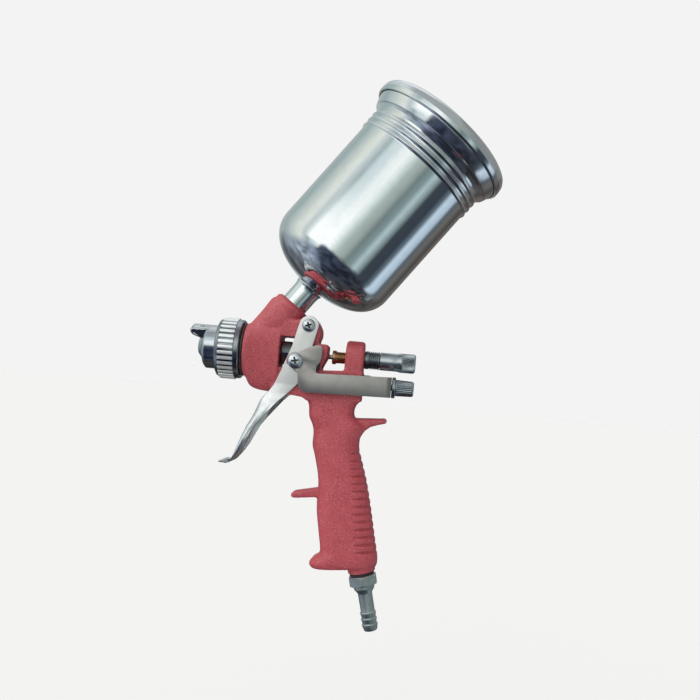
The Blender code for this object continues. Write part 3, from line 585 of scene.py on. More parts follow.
def shoulder_lump():
    """A ridge up the front of the cup boss, as ovals (height, front, back, half width)."""
    sections = [
        (-14.0, -12.6, 6.0, 11.0), (-8.0, -13.0, 8.0, 11.2), (2.0, -13.1, 9.0, 11.4),
        (11.5, -13.6, 10.0, 11.5), (13.8, -12.9, 10.0, 11.4),
    ]
    rings = []
    for up, front, back, half in spline(sections, 4):
        rings.append([(along, across, up) for along, across in oval(front, back, half, 2.2)])
    return loft("shoulder_lump", rings)


def handle_lump():
    """The grip, as ovals (z at the front, z at the back, front x, back x, half width)."""
    sections = [
        (-24.0, -23.0, 2.2, 36.6, 10.8), (-28.5, -26.5, 2.6, 36.5, 10.8),
        (-33.0, -31.0, 3.9, 33.6, 10.8), (-39.5, -37.5, 4.6, 34.0, 10.9),
        (-44.5, -43.0, 7.0, 42.0, 11.0), (-49.5, -49.0, 8.1, 38.8, 11.1),
        (-57.5, -56.5, 8.2, 38.4, 11.3), (-64.5, -64.0, 10.4, 40.7, 11.5),
        (-79.5, -79.0, 14.0, 45.6, 11.8), (-97.0, -97.0, 14.5, 50.0, 12.0),
        (-112.0, -110.0, 17.1, 52.9, 12.2), (-124.5, -120.0, 19.1, 55.2, 12.3),
        (-128.0, -124.0, 15.6, 56.0, 12.3), (-131.8, -127.8, 12.9, 56.3, 12.0),
        (-134.2, -129.9, 13.6, 55.8, 11.2), (-135.6, -131.3, 15.6, 54.8, 9.4),
    ]
    rings = []
    for z_front, z_back, front, back, half in spline(sections, 4):
        square = 2.7 + 2.0 * min(1.0, max(0.0, (z_front + 46.0) / 18.0))
        ring = []
        for along, across in oval(front, back, half, square):
            share = (along - front) / (back - front)
            ring.append((along, across, z_front + (z_back - z_front) * share))
        rings.append(ring)
    return loft("handle_lump", rings)


def middle_outline():
    points = [(-21.0, 21.4), (-9.0, 21.8), (-5.0, 22.4)]
    points += arc(-0.6, 14.6, 8.6, 98, 2, 14)           # the lug round the trigger pivot
    points += [(8.0, 12.6), (6.8, 9.2), (6.9, 7.4), (12.6, 7.4), (13.3, 6.4), (13.1, -0.5)]
    points += [(9.8, -7.6), (9.8, -9.3), (25.0, -8.3), (37.2, -8.3)]
    points += [(37.2, -27.4), (2.4, -29.4), (-0.5, -27.5), (-6.0, -26.8), (-21.0, -26.0)]
    return rounded(points, 1.0, 4)


def vertex_values(mesh, key):
    values = np.zeros(len(mesh.vertices) * 3)
    mesh.vertices.foreach_get(key, values)
    return values.reshape(-1, 3)


def grip_grooves(mesh):
    """Finger grooves across the rear of the grip: they deepen from a point on the flank to the back."""
    first, pitch, count, tilt = -59.8, 4.79, 14, 0.096
    depth, half_width = 1.45, 1.7
    first_start, rake_back, run_in = 32.6, 8.7, 6.0
    co = vertex_values(mesh, "co")
    normal = vertex_values(mesh, "normal")
    level = co[:, 2] - tilt * (co[:, 0] - 40.0)
    row = np.clip(np.round((first - level) / pitch), 0, count - 1)
    off = np.abs(level - (first - row * pitch))
    start = first_start + (first - level) / (pitch * (count - 1)) * rake_back
    reach = np.clip((co[:, 0] - start) / run_in, 0, 1)
    width = half_width * (0.35 + 0.65 * reach)
    shape = np.clip(1 - off / width, 0, 1)
    shape = shape * shape * (3 - 2 * shape)
    flank = 0.3 + 0.7 * np.abs(normal[:, 1])
    co -= normal * (depth * shape * flank * reach ** 0.6)[:, None]
    mesh.vertices.foreach_set("co", co.ravel())
    mesh.update()


def fused(mesh, smoothing):
    """Overlapping shells as one skin with softened edges, as a casting has."""
    return modified(mesh, [
        ('REMESH', {"mode": 'VOXEL', "voxel_size": VOXEL, "adaptivity": 0.0}),
        ('SMOOTH', {"factor": 0.5, "iterations": smoothing}),
    ])


def hole(name, steps, matrix):
    """A stepped cutter: each step is (from, to, radius) along local Z."""
    profile = [(steps[0][0], 0)]
    for low, high, radius in steps:
        profile += [(low, radius), (high, radius)]
    profile.append((steps[-1][1], 0))
    return placed(lathe(name, profile, 48), matrix)


def make_casting():
    hook = [(30.0, -36.0), (34.5, -37.9), (49.6, -36.9), (53.4, -36.4), (55.0, -38.0), (54.0, -39.7),
            (49.8, -40.8), (44.6, -42.6), (40.9, -45.8), (38.6, -50.0), (30.0, -52.0)]
    stub = [(20.0, -83.5), (12.6, -84.9), (-0.6, -87.9), (-2.6, -89.6), (-2.6, -91.6), (-0.8, -92.3),
            (13.2, -90.6), (20.0, -92.0)]
    boss = [(-6.0, 0), (-6.0, 9.0), (2.0, 11.6), (13.4, 11.6), (14.2, 12.4), (16.8, 12.4), (18.6, 10.6),
            (18.6, 0)]
    post = [(-9.8, -12.0)] + list(reversed(arc(0, 1.8, 9.8, 0, 180, 28))) + [(9.8, -12.0)]
    lumps = [
        placed(lathe("boss", rounded(boss, 0.5, closed=False)), CUP),
        placed(shoulder_lump(), CUP),
        slab("middle", middle_outline(), -BODY_HALF, BODY_HALF, 1.3, 4),
        handle_lump(),
        slab("hook", rounded(hook, 1.6, 5), -6.5, 6.5, 2.0, 5),
        slab("stub", rounded(stub, 1.1, 4), -5.0, 5.0, 1.5, 5),
        slab("post", post, 24.6, 36.7, 1.9, 5, across="X"),
        placed(lathe("spigot", tube(-48.0, -37.0, 0, 15.1)), NEEDLE),
        placed(lathe("foot", tube(-12.0, 2.0, 0, 8.8)), TAIL),
    ]
    body = fused(joined([head_lump()] + lumps), 5)
    window = [(-17.6, 10.5), (3.2, 10.5), (3.2, 5.8), (9.0, 5.8), (9.0, -9.6), (-17.6, -9.6)]
    pocket = [(-16.0, -14.0), (-20.6, -20.0), (-25.0, -26.0), (-25.0, -32.0), (-8.0, -32.0),
              (-8.0, -14.0)]
    rise = math.atan2(4.8, 64.5)
    air_way = shift(12.0, 0, VALVE_Z) @ spin(math.pi / 2 - rise, 'Y')
    cuts = [
        slab("window", rounded(window, 0.8), -20, 20, 0.0, 1),
        slab("near_pocket", rounded(pocket, 1.5), -20, -BODY_HALF, 0.0, 1),
        slab("far_pocket", rounded(pocket, 1.5), BODY_HALF, 20, 0.0, 1),
        hole("nozzle_bore", [(-49.0, -30.0, 5.4), (-30.0, -16.6, 5.0)], NEEDLE),
        hole("guide_bore", [(8.0, 14.5, NEEDLE_R + 0.4)], NEEDLE),
        hole("bush_bore", [(23.6, 37.7, 4.1)], NEEDLE),
        hole("cup_bore", [(-19.0, 4.0, 4.2), (4.0, 19.6, 9.2)], CUP),
        hole("valve_bore", [(11.0, 38.2, 6.0)], VALVE),
        hole("air_way", [(-65.5, 1.0, 2.3)], air_way),
        hole("handle_duct", [(-118.0, -16.0, 3.5), (-16.0, 4.0, 6.2)], TAIL),
        hole("pivot_bore", [(-20.0, 20.0, 3.6)], PIVOT),
    ]
    body = fused(combined(body, cuts, 'DIFFERENCE'), 4)
    grip_grooves(body)
    piece("casting", body, HERE, "red_powder_coat", "gun_body", sharp=180)


# ---------------------------------------------------------------- front parts on the needle axis

def ring_shape(angle, along, radius):
    """Rounded bars stand proud between narrow grooves round the retaining ring."""
    groove_depth, flat, flank, crown = 1.0, 0.52, 0.16, 0.12
    if radius < RING_R - 0.55 or not -55.85 <= along <= -46.15:
        return radius
    place = (angle * RING_BARS / (2 * math.pi)) % 1.0
    away = abs(place - 0.5) * 2
    groove = groove_depth * max(0.0, min(1.0, (away - flat) / flank))
    return radius - groove - crown * min(1.0, away / flat) ** 2


def make_ring():
    ring = [(-42.7, 15.4), (-42.7, 18.5, 0.3), (-43.3, 19.1, 0.3), (-46.0, 19.1), (-46.25, RING_R, 0.2),
            (-55.7, RING_R, 0.2), (-55.95, 19.3), (-57.9, 18.4, 0.8), (-58.9, 16.6, 0.5),
            (-58.9, CAP_R + 0.4), (-57.1, CAP_R + 0.4), (-57.1, 17.1), (-47.7, 17.1), (-47.7, 15.4)]
    profile = rounded(ring, 0.25)
    # The bar faces get the paler chrome: partly wear, partly a painted highlight.
    piece("retaining_ring_turned", lathe("ring", profile, RING_BARS * 20, ring_shape), NEEDLE,
          "dark_chrome", "retaining_ring", sharp=50, second="worn_bars_painted_highlight",
          where=lambda c: math.hypot(c.x, c.y) > RING_R - 0.5)


def make_air_cap():
    shell = [(-71.6, 2.2), (-71.6, 5.2, 0.6), (-69.0, 8.4, 1.0), (-67.4, 12.6, 1.0), (-66.0, CAP_R, 0.8),
             (-56.8, CAP_R), (-56.8, 16.7), (-53.0, 16.7), (-53.0, 12.4), (-65.0, 12.4), (-66.4, 10.8),
             (-70.0, 2.2)]
    cap = lathe("cap", rounded(shell, 0.25), 128)
    side_view = [(6.0, -67.0), (14.1, -64.4), (14.1, -75.0, 0.9), (13.0, HORN_TIP, 0.9),
                 (10.6, HORN_TIP, 0.9), (8.8, -75.0, 1.0), (7.0, -70.2, 1.5)]
    horns, holes = [], []
    for angle in (207.0, 27.0):
        turn = spin(math.radians(angle), 'Z')
        horn = slab("horn", rounded(side_view, 0.5, 4), -HORN_HALF, HORN_HALF, 1.2, 5)
        horns.append(placed(horn, turn))
        for along, lean in ((-73.9, 52), (-71.7, 60)):
            aim = shift(9.3, 0, along) @ spin(math.radians(180 + lean), 'Y')
            holes.append(drill(-6, 1.5, 0.75, turn @ aim, 20))
    for k in range(8):
        angle = 2 * math.pi * (k + 0.5) / 8
        spot = shift(4.1 * math.cos(angle), 4.1 * math.sin(angle), 0)
        holes.append(drill(-72.4, -70.2, 0.5, spot, 14))
    cap = combined(combined(cap, horns, 'UNION'), holes, 'DIFFERENCE')
    piece("air_cap_turned", eased(cap, 0.14, 38), NEEDLE, "chrome", "air_cap")


def make_behind_cap():
    turned("head_gasket_ring", tube(-42.4, -41.1, 15.4, 17.1), 96, NEEDLE, "black_rubber",
           "head_gasket", 0.4, 4)
    disc = [(-52.0, 5.7), (-52.0, 10.0), (-50.6, 12.0), (-50.6, 16.7), (-48.3, 16.7), (-48.3, 5.7)]
    baffle = lathe("baffle", rounded(disc, 0.3), 96)
    holes = []
    for k in range(6):
        turn = spin(2 * math.pi * (k + 0.37) / 6, 'Z')
        holes.append(drill(-54, -46, 1.1, turn @ shift(13.9, 0, 0), 24))
    piece("air_distributor_disc", combined(baffle, holes, 'DIFFERENCE'), NEEDLE, "brass",
          "air_distributor")

    nozzle = [(-70.8, 0.7), (-70.8, 1.5, 0.2), (-68.0, 1.9), (-67.0, 3.6, 0.6), (-57.0, 4.4),
              (-57.0, 7.6), (-52.4, 7.6), (-52.4, 5.1), (-38.5, 5.1), (-38.5, 2.4), (-66.4, 2.4),
              (-69.0, 1.9)]
    turned("fluid_nozzle_turned", nozzle, 48, NEEDLE, "steel", "fluid_nozzle", 0.2)


# ---------------------------------------------------------------- turned and hexagonal pieces

def hex_radius(angle, across_flats):
    from_flat = (angle + math.pi / 6) % (math.pi / 3) - math.pi / 6
    return across_flats / 2 / math.cos(from_flat)


def hex_nut(name, across_flats, low, high, bore, chamfer=(True, True)):
    """A nut with the curved chamfers that a lathe leaves on its corners."""
    corner = across_flats / 2 / math.cos(math.pi / 6)
    rise = 0.5
    rows = [low, low + 0.15, low + 0.3, low + 0.5, low + 0.8, low + 1.1,
            high - 1.1, high - 0.8, high - 0.5, high - 0.3, high - 0.15, high]
    profile = [(low, bore)] + [(z, corner) for z in rows] + [(high, bore)]

    def shape(angle, along, radius):
        if radius < corner:
            return radius
        limit = corner + 1
        if chamfer[0]:
            limit = min(limit, across_flats / 2 - 0.25 + (along - low) / rise)
        if chamfer[1]:
            limit = min(limit, across_flats / 2 - 0.25 + (high - along) / rise)
        return min(hex_radius(angle, across_flats), limit)

    return lathe(name, profile, 144, shape)


def shanked(nut, low, high, bore, radius):
    """A nut with the plain shank that stands for its thread."""
    return combined(nut, [lathe("shank", tube(low, high, bore, radius), 48)], 'UNION')


def ridged(count, depth, low, high, least):
    """Straight knurling: sharp ridges with round valleys between low and high."""
    def shape(angle, along, radius):
        if radius < least or not low <= along <= high:
            return radius
        wave = abs(((angle * count / (2 * math.pi)) % 1.0) * 2 - 1)
        return radius - depth * (1 - wave) ** 0.7
    return shape


def make_needle_parts():
    needle = [(-70.6, 0), (-70.6, 0.3), (-69.3, 0.45), (-66.0, NEEDLE_R), (44.6, NEEDLE_R), (44.6, 3.0),
              (46.2, 3.0), (46.2, 0.9), (50.0, 0.9), (50.0, 0)]
    turned("needle_shaft", needle, 40, NEEDLE, "steel", "needle", 0.15, closed=False)
    collar = [(-3.1, NEEDLE_R + 0.1), (-3.1, 4.8), (-2.7, 5.2), (1.9, 5.2), (2.3, 4.8),
              (2.3, NEEDLE_R + 0.1)]
    turned("needle_collar_turned", collar, 64, NEEDLE, "brass", "needle_collar")
    turned("needle_packing_ring", tube(-28.5, -24.4, 1.55, 4.7), 48, NEEDLE, "white_seal",
           "needle_packing")
    nut = hex_nut("packing_nut", 15.0, -17.0, -10.6, NEEDLE_R + 0.4)
    piece("packing_nut_hexagon", shanked(nut, -24.0, -16.0, 1.9, 4.6), NEEDLE, "dark_zinc", "packing_nut")

    bush = [(15.9, 1.8), (15.9, 4.2, 0.3), (16.2, 4.5), (18.2, 4.5), (18.5, 3.8)]
    for k in range(6):
        start = 19.3 + k * 0.85
        bush += [(start, 3.8), (start + 0.28, 3.45), (start + 0.56, 3.8)]
    bush += [(44.0, 3.8), (44.0, 1.8)]
    turned("control_bush_turned", bush, 64, NEEDLE, "brass", "control_bush", 0.12, 2)

    barrel = [(37.0, 4.1), (37.0, 5.5), (37.3, 5.8)]
    for k in range(5):
        centre = 40.2 + k * 1.25
        barrel += [(centre - 0.42, 5.8), (centre - 0.2, 5.2), (centre + 0.2, 5.2), (centre + 0.42, 5.8)]
    barrel += [(BARREL_END - GAP, 5.8), (BARREL_END, 5.5), (BARREL_END, THREAD_R),
               (THREAD_END, THREAD_R), (THREAD_END, 3.6), (44.3, 3.6), (44.3, 4.1)]
    turned("spring_barrel_turned", barrel, 96, NEEDLE, "dark_zinc", "spring_barrel", 0.12, 2)

    start, thread_r, thread_end = BARREL_END + GAP, THREAD_R + GAP, THREAD_END + GAP
    knob = [(start, thread_r), (start, 5.5), (start + 0.3, 5.8), (58.0, 5.8, 2.0), (60.2, 6.25, 0.5),
            (61.2, 6.25), (61.4, 6.25), (68.6, 6.25), (68.8, 6.25), (69.8, 5.3, 0.5), (69.8, 0),
            (66.3, 0), (66.3, 3.5), (thread_end, 3.5), (thread_end, thread_r)]
    piece("fluid_knob_knurled",
          lathe("knob", rounded(knob, 0.15), 44 * 8, ridged(44, 0.42, 61.3, 68.7, 6.0)),
          NEEDLE, "zinc_barrel", "fluid_knob", sharp=55)


def make_needle_stop():
    turned("needle_stop_turned", tube(63.7, 66.0, 0, 3.1), 48, NEEDLE, "steel", "needle_stop",
           closed=False)


def make_valve_parts():
    rod = [(12.8, 0), (12.8, 4.6), (14.4, 4.6), (14.4, 2.0), (50.2, 2.0), (50.2, 3.4), (53.3, 3.4),
           (53.3, 2.0), (65.5, 2.0), (65.5, 0)]
    turned("valve_rod_turned", rod, 48, VALVE, "steel", "valve_rod", 0.2, closed=False)
    turned("valve_seal_ring", tube(11.3, 12.5, 2.6, 5.6), 48, VALVE, "black_rubber", "valve_seal")
    nut = hex_nut("gland", 13.0, 37.5, 41.6, 2.3, (False, True))
    piece("valve_gland_hexagon", shanked(nut, 31.0, 39.0, 2.3, 5.6), VALVE, "zinc_plate",
          "valve_gland_nut")
    knob = [(55.8, 2.2), (55.8, 6.4), (56.2, 6.8, 0.3), (58.0, 6.8, 0.3), (58.3, 5.3), (58.9, 5.3),
            (59.0, 5.3), (68.7, 4.95), (68.8, 4.95), (69.2, 4.9), (70.0, 4.2, 0.4), (70.0, 0), (65.8, 0),
            (65.8, 2.2)]
    piece("valve_knob_knurled",
          lathe("knob", rounded(knob, 0.15, closed=False), 26 * 8, ridged(26, 0.4, 58.95, 68.75, 4.9)),
          VALVE, "zinc_plate", "valve_knob", sharp=55)


# ---------------------------------------------------------------- trigger, stirrup and their screws

FLARE_ROWS = (-26.0, -29.0, -32.0, -35.0, -38.0, -41.0, -48.0, -56.0, -60.0, -65.0, -70.0)


def flare(z):
    """The finger lever is a little wider than the straps above it."""
    if z > -26.0:
        return 1.0
    share = min(1.0, (-26.0 - z) / 14.0)
    fade = max(0.0, min(1.0, (z + 74.0) / 18.0))
    return 1.0 + 0.14 * share * (3 - 2 * share) * share * fade


def flared(mesh):
    """The sides are first cut across at FLARE_ROWS, so that the straps above the lever stay flat."""
    bm = bmesh.new()
    bm.from_mesh(mesh)
    for z in FLARE_ROWS:
        bmesh.ops.bisect_plane(bm, geom=bm.verts[:] + bm.edges[:] + bm.faces[:], dist=1e-4,
                               plane_co=(0, 0, z), plane_no=(0, 0, 1))
    for vertex in bm.verts:
        vertex.co.y *= flare(vertex.co.z)
    bm.to_mesh(mesh)
    bm.free()
    return mesh


def make_trigger():
    front = [(-9.6, 4.6), (-12.6, -4.1), (-15.6, -12.8), (-18.9, -21.0), (-22.4, -26.3),
             (-24.9, -29.0), (-26.9, -31.6), (-28.8, -37.1), (-31.3, -43.2), (-34.0, -48.3),
             (-37.3, -57.0), (-40.1, -65.5), (-41.9, -70.6), (-44.6, -71.9), (-49.6, -72.0)]
    rear = [(-49.4, -72.9), (-43.4, -73.3), (-40.9, -70.4), (-37.9, -66.3), (-35.4, -62.2),
            (-32.2, -55.4), (-29.2, -49.2), (-24.6, -42.8), (-19.8, -36.9), (-15.4, -31.4),
            (-9.6, -25.8), (-4.0, -19.6), (-0.6, -8.0), (3.4, 5.0), (5.2, 13.0)]
    outline = rounded(arc(PIVOT_X, PIVOT_Z, 6.3, 0, 170, 24) + front + rear, 4.0, 5)

    def roll(point):
        """The sheet is bent round along the front of the lever and cut square elsewhere."""
        x, z = point
        nearest = min(math.hypot(x - a, z - b) for a, b in spline(front[5:14], 4))
        if z < -27.5 and nearest < 1.2:
            return 3.0 * min(1.0, (-27.5 - z) / 6.0) * max(0.25, min(1.0, (z + 74.0) / 22.0)) + 0.1
        return 0.25

    outer = flared(slab("trigger", outline, -TRIGGER_OUT, TRIGGER_OUT, roll, 6))
    inner = [(-30.0, 30.0), (-30.0, -27.6), (-23.9, -29.6), (-25.5, -32.4), (-27.3, -37.7),
             (-29.9, -43.8), (-32.6, -49.0), (-35.9, -57.6), (-38.7, -66.0), (-40.2, -69.4),
             (-36.0, -73.0), (10.0, -40.0), (14.0, 30.0)]
    inside = flared(slab("inside", rounded(inner, 2.0, 4), -TRIGGER_IN, TRIGGER_IN, 1.5, 4))
    holes = [drill(-20, 20, 2.2, PIVOT, 40), drill(-20, 20, 2.3, LINK, 40)]
    trigger = combined(outer, [inside] + holes, 'DIFFERENCE')
    piece("trigger_pressed", trigger, HERE, "pressed_nickel", "trigger", sharp=38)


def make_stirrup():
    side = arc(LINK_X, LINK_Z, 5.8, 200, 78, 14)
    side += [(-1.0, 3.2), (3.6, 5.2), (6.6, 6.2), (9.0, 5.9), (10.1, 4.4), (10.1, -0.6), (9.4, -4.4),
             (7.9, -6.4), (7.2, -7.4), (7.2, -11.0), (8.4, -11.6, 1.5), (55.5, -10.0, 0.2),
             (55.5, -22.9, 0.2), (30.0, -23.5), (2.0, -24.2, 3.0), (-1.0, -23.4, 3.0), (-2.8, -21.6, 3.0),
             (-3.6, -19.0, 3.0), (-4.3, -12.6)]
    side = slab("side", rounded(side, 1.6, 4), -20, 20, 0.0, 1)
    bend, thick = 3.5, STIRRUP_OUT - STIRRUP_IN
    outer = [(-30.0, -STIRRUP_OUT)] + arc(55.5 - bend, -STIRRUP_OUT + bend, bend, -90, 0, 8)
    outer += arc(55.5 - bend, STIRRUP_OUT - bend, bend, 0, 90, 8) + [(-30.0, STIRRUP_OUT)]
    inner_bend = bend - thick
    inner = [(-30.0, STIRRUP_IN)] + arc(55.5 - bend, STIRRUP_IN - inner_bend, inner_bend, 90, 0, 8)
    inner += arc(55.5 - bend, -STIRRUP_IN + inner_bend, inner_bend, 0, -90, 8) + [(-30.0, -STIRRUP_IN)]
    plan = slab("plan", outer + inner, -40, 40, 0.0, 1, across="Z")
    holes = [drill(-20, 20, 2.3, LINK, 40), drill(47.5, 57.5, 2.9, VALVE, 40)]
    stirrup = combined(combined(plan, [side], 'INTERSECT'), holes, 'DIFFERENCE')
    piece("stirrup_pressed", eased(stirrup, 0.4, 50, 3), HERE, "satin_steel", "stirrup", sharp=38)


def cross_cutter(half, low, high):
    """A cross recess that tapers inwards."""
    rings = []
    for z, shrink in ((low, 0.5), (high, 1.0)):
        a, b = half * shrink, 0.62 * (0.6 + 0.4 * shrink)
        rings.append([(x, y, z) for x, y in (
            (a, -b), (a, b), (b, b), (b, a), (-b, a), (-b, b),
            (-a, b), (-a, -b), (-b, -b), (-b, -a), (b, -a), (b, -b))])
    return loft("cross", rings)


def make_screws():
    for name, x, z, head_r, shank_r, seat, slots in (
            ("pivot_screw", PIVOT_X, PIVOT_Z, 4.2, 1.9, TRIGGER_OUT + GAP, 20),
            ("link_screw", LINK_X, LINK_Z, 4.9, 1.85, STIRRUP_OUT + GAP, 14)):
        for side, facing in (("near", NEAR), ("far", FAR)):
            head = [(5.0, 0), (5.0, shank_r), (seat, shank_r), (seat, head_r, 0.2),
                    (seat + 0.75, head_r, 0.35), (seat + 1.45, head_r * 0.86, 0.8),
                    (seat + 1.95, head_r * 0.55, 0.8), (seat + 2.1, head_r * 0.25), (seat + 2.1, 0)]
            mesh = lathe(name, rounded(head, 0.2, 4, False), 64)
            turn = spin(math.radians(slots), 'Z')
            cross = placed(cross_cutter(head_r * 0.56, seat + 0.5, seat + 2.4), turn)
            cut = combined(mesh, [cross], 'DIFFERENCE')
            node = f"{name}_{side}"
            # The faces down in the cross recess get the near-black material: painted shade in the recess.
            piece(f"{node}_cross_head", eased(cut, 0.1, 45), shift(x, 0, z) @ facing,
                  "screw_zinc", node, second="recess",
                  where=lambda c: math.hypot(c.x, c.y) < head_r * 0.6 and seat + 0.3 < c.z < seat + 1.75)


def make_pins():
    end = TRIGGER_IN - GAP
    pin = lathe("pin", rounded(tube(-end, end, 0, 2.9), 0.3, closed=False), 48)
    bores = [drill(-20, -4.5, 2.15, HERE, 32), drill(4.5, 20, 2.15, HERE, 32)]
    piece("link_pin_turned", combined(pin, bores, 'DIFFERENCE'), LINK, "steel", "link_pin")
    turned("pivot_sleeve_turned", tube(-end, end, 2.2, 3.3), 48, PIVOT, "steel", "pivot_sleeve", 0.2, 2)


# ---------------------------------------------------------------- springs

def spring(name, radius, wire, start, end, turns, matrix, node):
    """A compression spring with closed end turns, swept as a round wire."""
    bm = bmesh.new()
    steps, sides = 28, 10
    total = turns * steps
    rings = []
    for i in range(total + 1):
        t = i / total
        angle = 2 * math.pi * i / steps
        dead = 1.0 / turns
        eased_t = min(1.0, max(0.0, (t - dead * 0.5) / (1 - dead)))
        along = start + wire + (end - start - 2 * wire) * eased_t
        out = Vector((math.cos(angle), math.sin(angle), 0))
        ring = []
        for k in range(sides):
            turn = 2 * math.pi * k / sides
            ring.append(bm.verts.new(out * (radius + wire * math.cos(turn))
                                     + Vector((0, 0, along + wire * math.sin(turn)))))
        rings.append(ring)
    for first, second in zip(rings, rings[1:]):
        bridge(bm, first, second)
    bm.faces.new(rings[0])
    bm.faces.new(list(reversed(rings[-1])))
    coil = piece(name, to_mesh(name, bm), matrix, "steel", node)
    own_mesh(coil)


def make_springs():
    spring("needle_spring_wound", 2.6, 0.4, 46.5, 63.4, 8, NEEDLE, "needle_spring")
    spring("valve_spring_wound", 3.6, 0.5, 14.7, 30.6, 6, VALVE, "valve_spring")


# ---------------------------------------------------------------- cup

def dome_height(radius):
    """How far along the cup's axis its domed bottom is at a radius."""
    share = 1.0 - (radius / CUP_R) ** DOME_POWER
    return DOME_TOP - DOME_DEPTH * max(0.0, share) ** (1.0 / DOME_POWER)


DOME_BOTTOM = dome_height(CUP_HOLE)


def make_cup_shell():
    bead_height, bead_half = 1.0, 1.95
    outer = [(DOME_BOTTOM, CUP_HOLE)]
    for k in range(1, 34):
        r = CUP_R * math.sin(math.radians(10.6 + 79.4 * k / 34))
        outer.append((dome_height(r), r))
    outer += [(DOME_TOP + 72.0 * k / 12, CUP_R) for k in range(13)]
    for centre in (135.5, 140.0, 144.5):
        for k in range(-6, 7):
            swell = bead_height * (0.5 + 0.5 * math.cos(math.pi * k / 6))
            outer.append((centre + bead_half * k / 6, CUP_R + swell))
    outer += [(147.6, CUP_R + 0.35, 1.0), (149.6, CUP_R + 1.5, 1.5), (151.0, CUP_R + 2.7, 0.2),
              (151.5, CUP_R + 3.5, 0.3), (154.6, 48.0, 2.0), (157.8, 49.0, 1.2), (161.0, 49.0, 0.3),
              (161.4, 48.7)]
    inner = [(161.4, 48.0), (156.0, 47.3, 1.5), (151.4, CUP_R + 1.6, 1.5),
             (147.6, CUP_R - CUP_WALL, 1.5), (DOME_TOP, CUP_R - CUP_WALL)]
    for k in range(14):
        r = 41.6 * math.cos(math.radians(8 + 74.0 * k / 14))
        inner.append((dome_height(r * 1.012) + CUP_WALL, r))
    inner.append((DOME_BOTTOM + CUP_WALL, CUP_HOLE))
    turned("cup_spun_shell", outer + inner, 256, CUP, "polished_aluminium", "cup_shell", sharp=50)


def make_cup_foot():
    """The pieces that fasten the cup to the casting and the strainer over the outlet."""
    low = DOME_BOTTOM
    neck = [(6.2, 6.0), (6.2, 8.9), (29.0, 8.9, 2.0), (31.6, 9.2, 1.0), (low - GAP, 10.2, 0.3),
            (low - GAP, 7.6), (low + 6.0, 7.6), (low + 6.0, 6.0)]
    turned("cup_neck_turned", neck, 96, CUP, "polished_aluminium", "cup_neck", 0.2, 4)
    turned("cup_seal_ring", tube(4.3, 5.9, 6.2, 8.8), 64, CUP, "white_seal", "cup_seal")
    piece("cup_nut_hexagon", hex_nut("cup_nut", 21.0, low + 2.8, low + 5.6, CUP_HOLE, (False, True)),
          CUP, "zinc_plate", "cup_ring_nut")
    strainer = [(low - 8.0, 0), (low - 8.0, 4.6), (low + 6.3, 5.6), (low + 6.3, 7.2),
                (low + 7.1, 7.2), (low + 7.1, 4.8), (low - 7.2, 3.9), (low - 7.2, 0)]
    turned("cup_strainer_moulded", strainer, 64, CUP, "nylon", "cup_strainer", 0.2, closed=False)


def make_lid():
    steps = [(0.6, 0), (0.6, 41.0, 1.5), (0, 43.0, 1.5), (0, 47.4, 2.5), (1.2, 49.3, 1.5),
             (3.0, 50.5, 2.0), (6.2, 51.0, 1.0), (8.6, 51.0, 0.8), (9.6, 50.4, 0.3), (9.6, 49.5),
             (4.4, 49.5), (3.0, 46.4), (2.6, 41.0), (1.8, 0)]
    lid = [(LID_TOP - drop, *rest) for drop, *rest in steps]
    vent = drill(LID_TOP - 6, LID_TOP + 4, 1.2, shift(24.0, 0, 0), 32)
    lid_mesh = combined(lathe("lid", rounded(lid, 0.3, 4, False), 256), [vent], 'DIFFERENCE')
    piece("cup_lid_spun", lid_mesh, CUP, "polished_aluminium", "cup_lid", sharp=50)
    turned("lid_gasket_ring", tube(161.7, 162.8, 47.4, 49.1), 128, CUP, "black_rubber", "lid_gasket")


# ---------------------------------------------------------------- air inlet

def make_inlet():
    turned("inlet_washer_ring", tube(2.3, 3.4, 6.3, 7.8), 64, TAIL, "black_rubber", "inlet_washer", 0.25)
    nut = hex_nut("inlet_nut", 17.0, 3.7, 10.2, 4.7)
    piece("inlet_nut_hexagon", shanked(nut, -12.0, 5.0, 4.7, 5.9), TAIL, "hose_tail_plate", "inlet_nut")
    tail = [(-8.0, 2.6), (-8.0, 4.4), (10.5, 4.4), (10.5, 6.6, 0.3), (12.4, 6.6, 0.5), (15.2, 4.6, 1.5)]
    for start in (27.4, 31.2, 34.8):
        tail += [(start - 0.2, 4.5), (start, 5.2, 0.35), (start + 3.0, 4.5)]
    tail += [(39.0, 4.0, 0.4), (39.0, 2.6)]
    turned("hose_tail_barbed", tail, 80, TAIL, "hose_tail_plate", "hose_tail", 0.25, 4)


# ---------------------------------------------------------------- studio and camera

FLOOR_DROP = 0.26                               # the floor lies this far under the held gun
FLOOR_R = 24.0
BACKDROP = 0.896
KEY_DIRECTION = (-0.55, -0.45, 0.72)
KEY_FOCUS = 4.0


def make_floor():
    """A pale floor that runs to the horizon."""
    low = cad_box[0].z - FLOOR_DROP
    bm = bmesh.new()
    ring = [bm.verts.new((FLOOR_R * math.cos(a), FLOOR_R * math.sin(a), low))
            for a in (2 * math.pi * i / 96 for i in range(96))]
    bm.faces.new(ring)
    mesh = bpy.data.meshes.new("floor")
    bm.to_mesh(mesh)
    bm.free()
    floor = bpy.data.objects.new("floor", mesh)
    SCENE.collection.objects.link(floor)
    n, shader = new_material("pale_floor", Roughness=0.9)
    shader.inputs["Specular IOR Level"].default_value = 0.0
    pale = n.mix(n.noise(3.0, 2.0), (0.797, 0.800, 0.802), (0.804, 0.807, 0.809))
    n.feed(shader.inputs["Base Color"], pale)
    mesh.materials.append(MATS["pale_floor"])
    floor.visible_glossy = False


def around(*stops):
    """Ramp stops given in degrees about the cup's axis, 0 being towards the camera's side."""
    return [(degrees / 360 + 0.5, tone) for degrees, tone in stops]


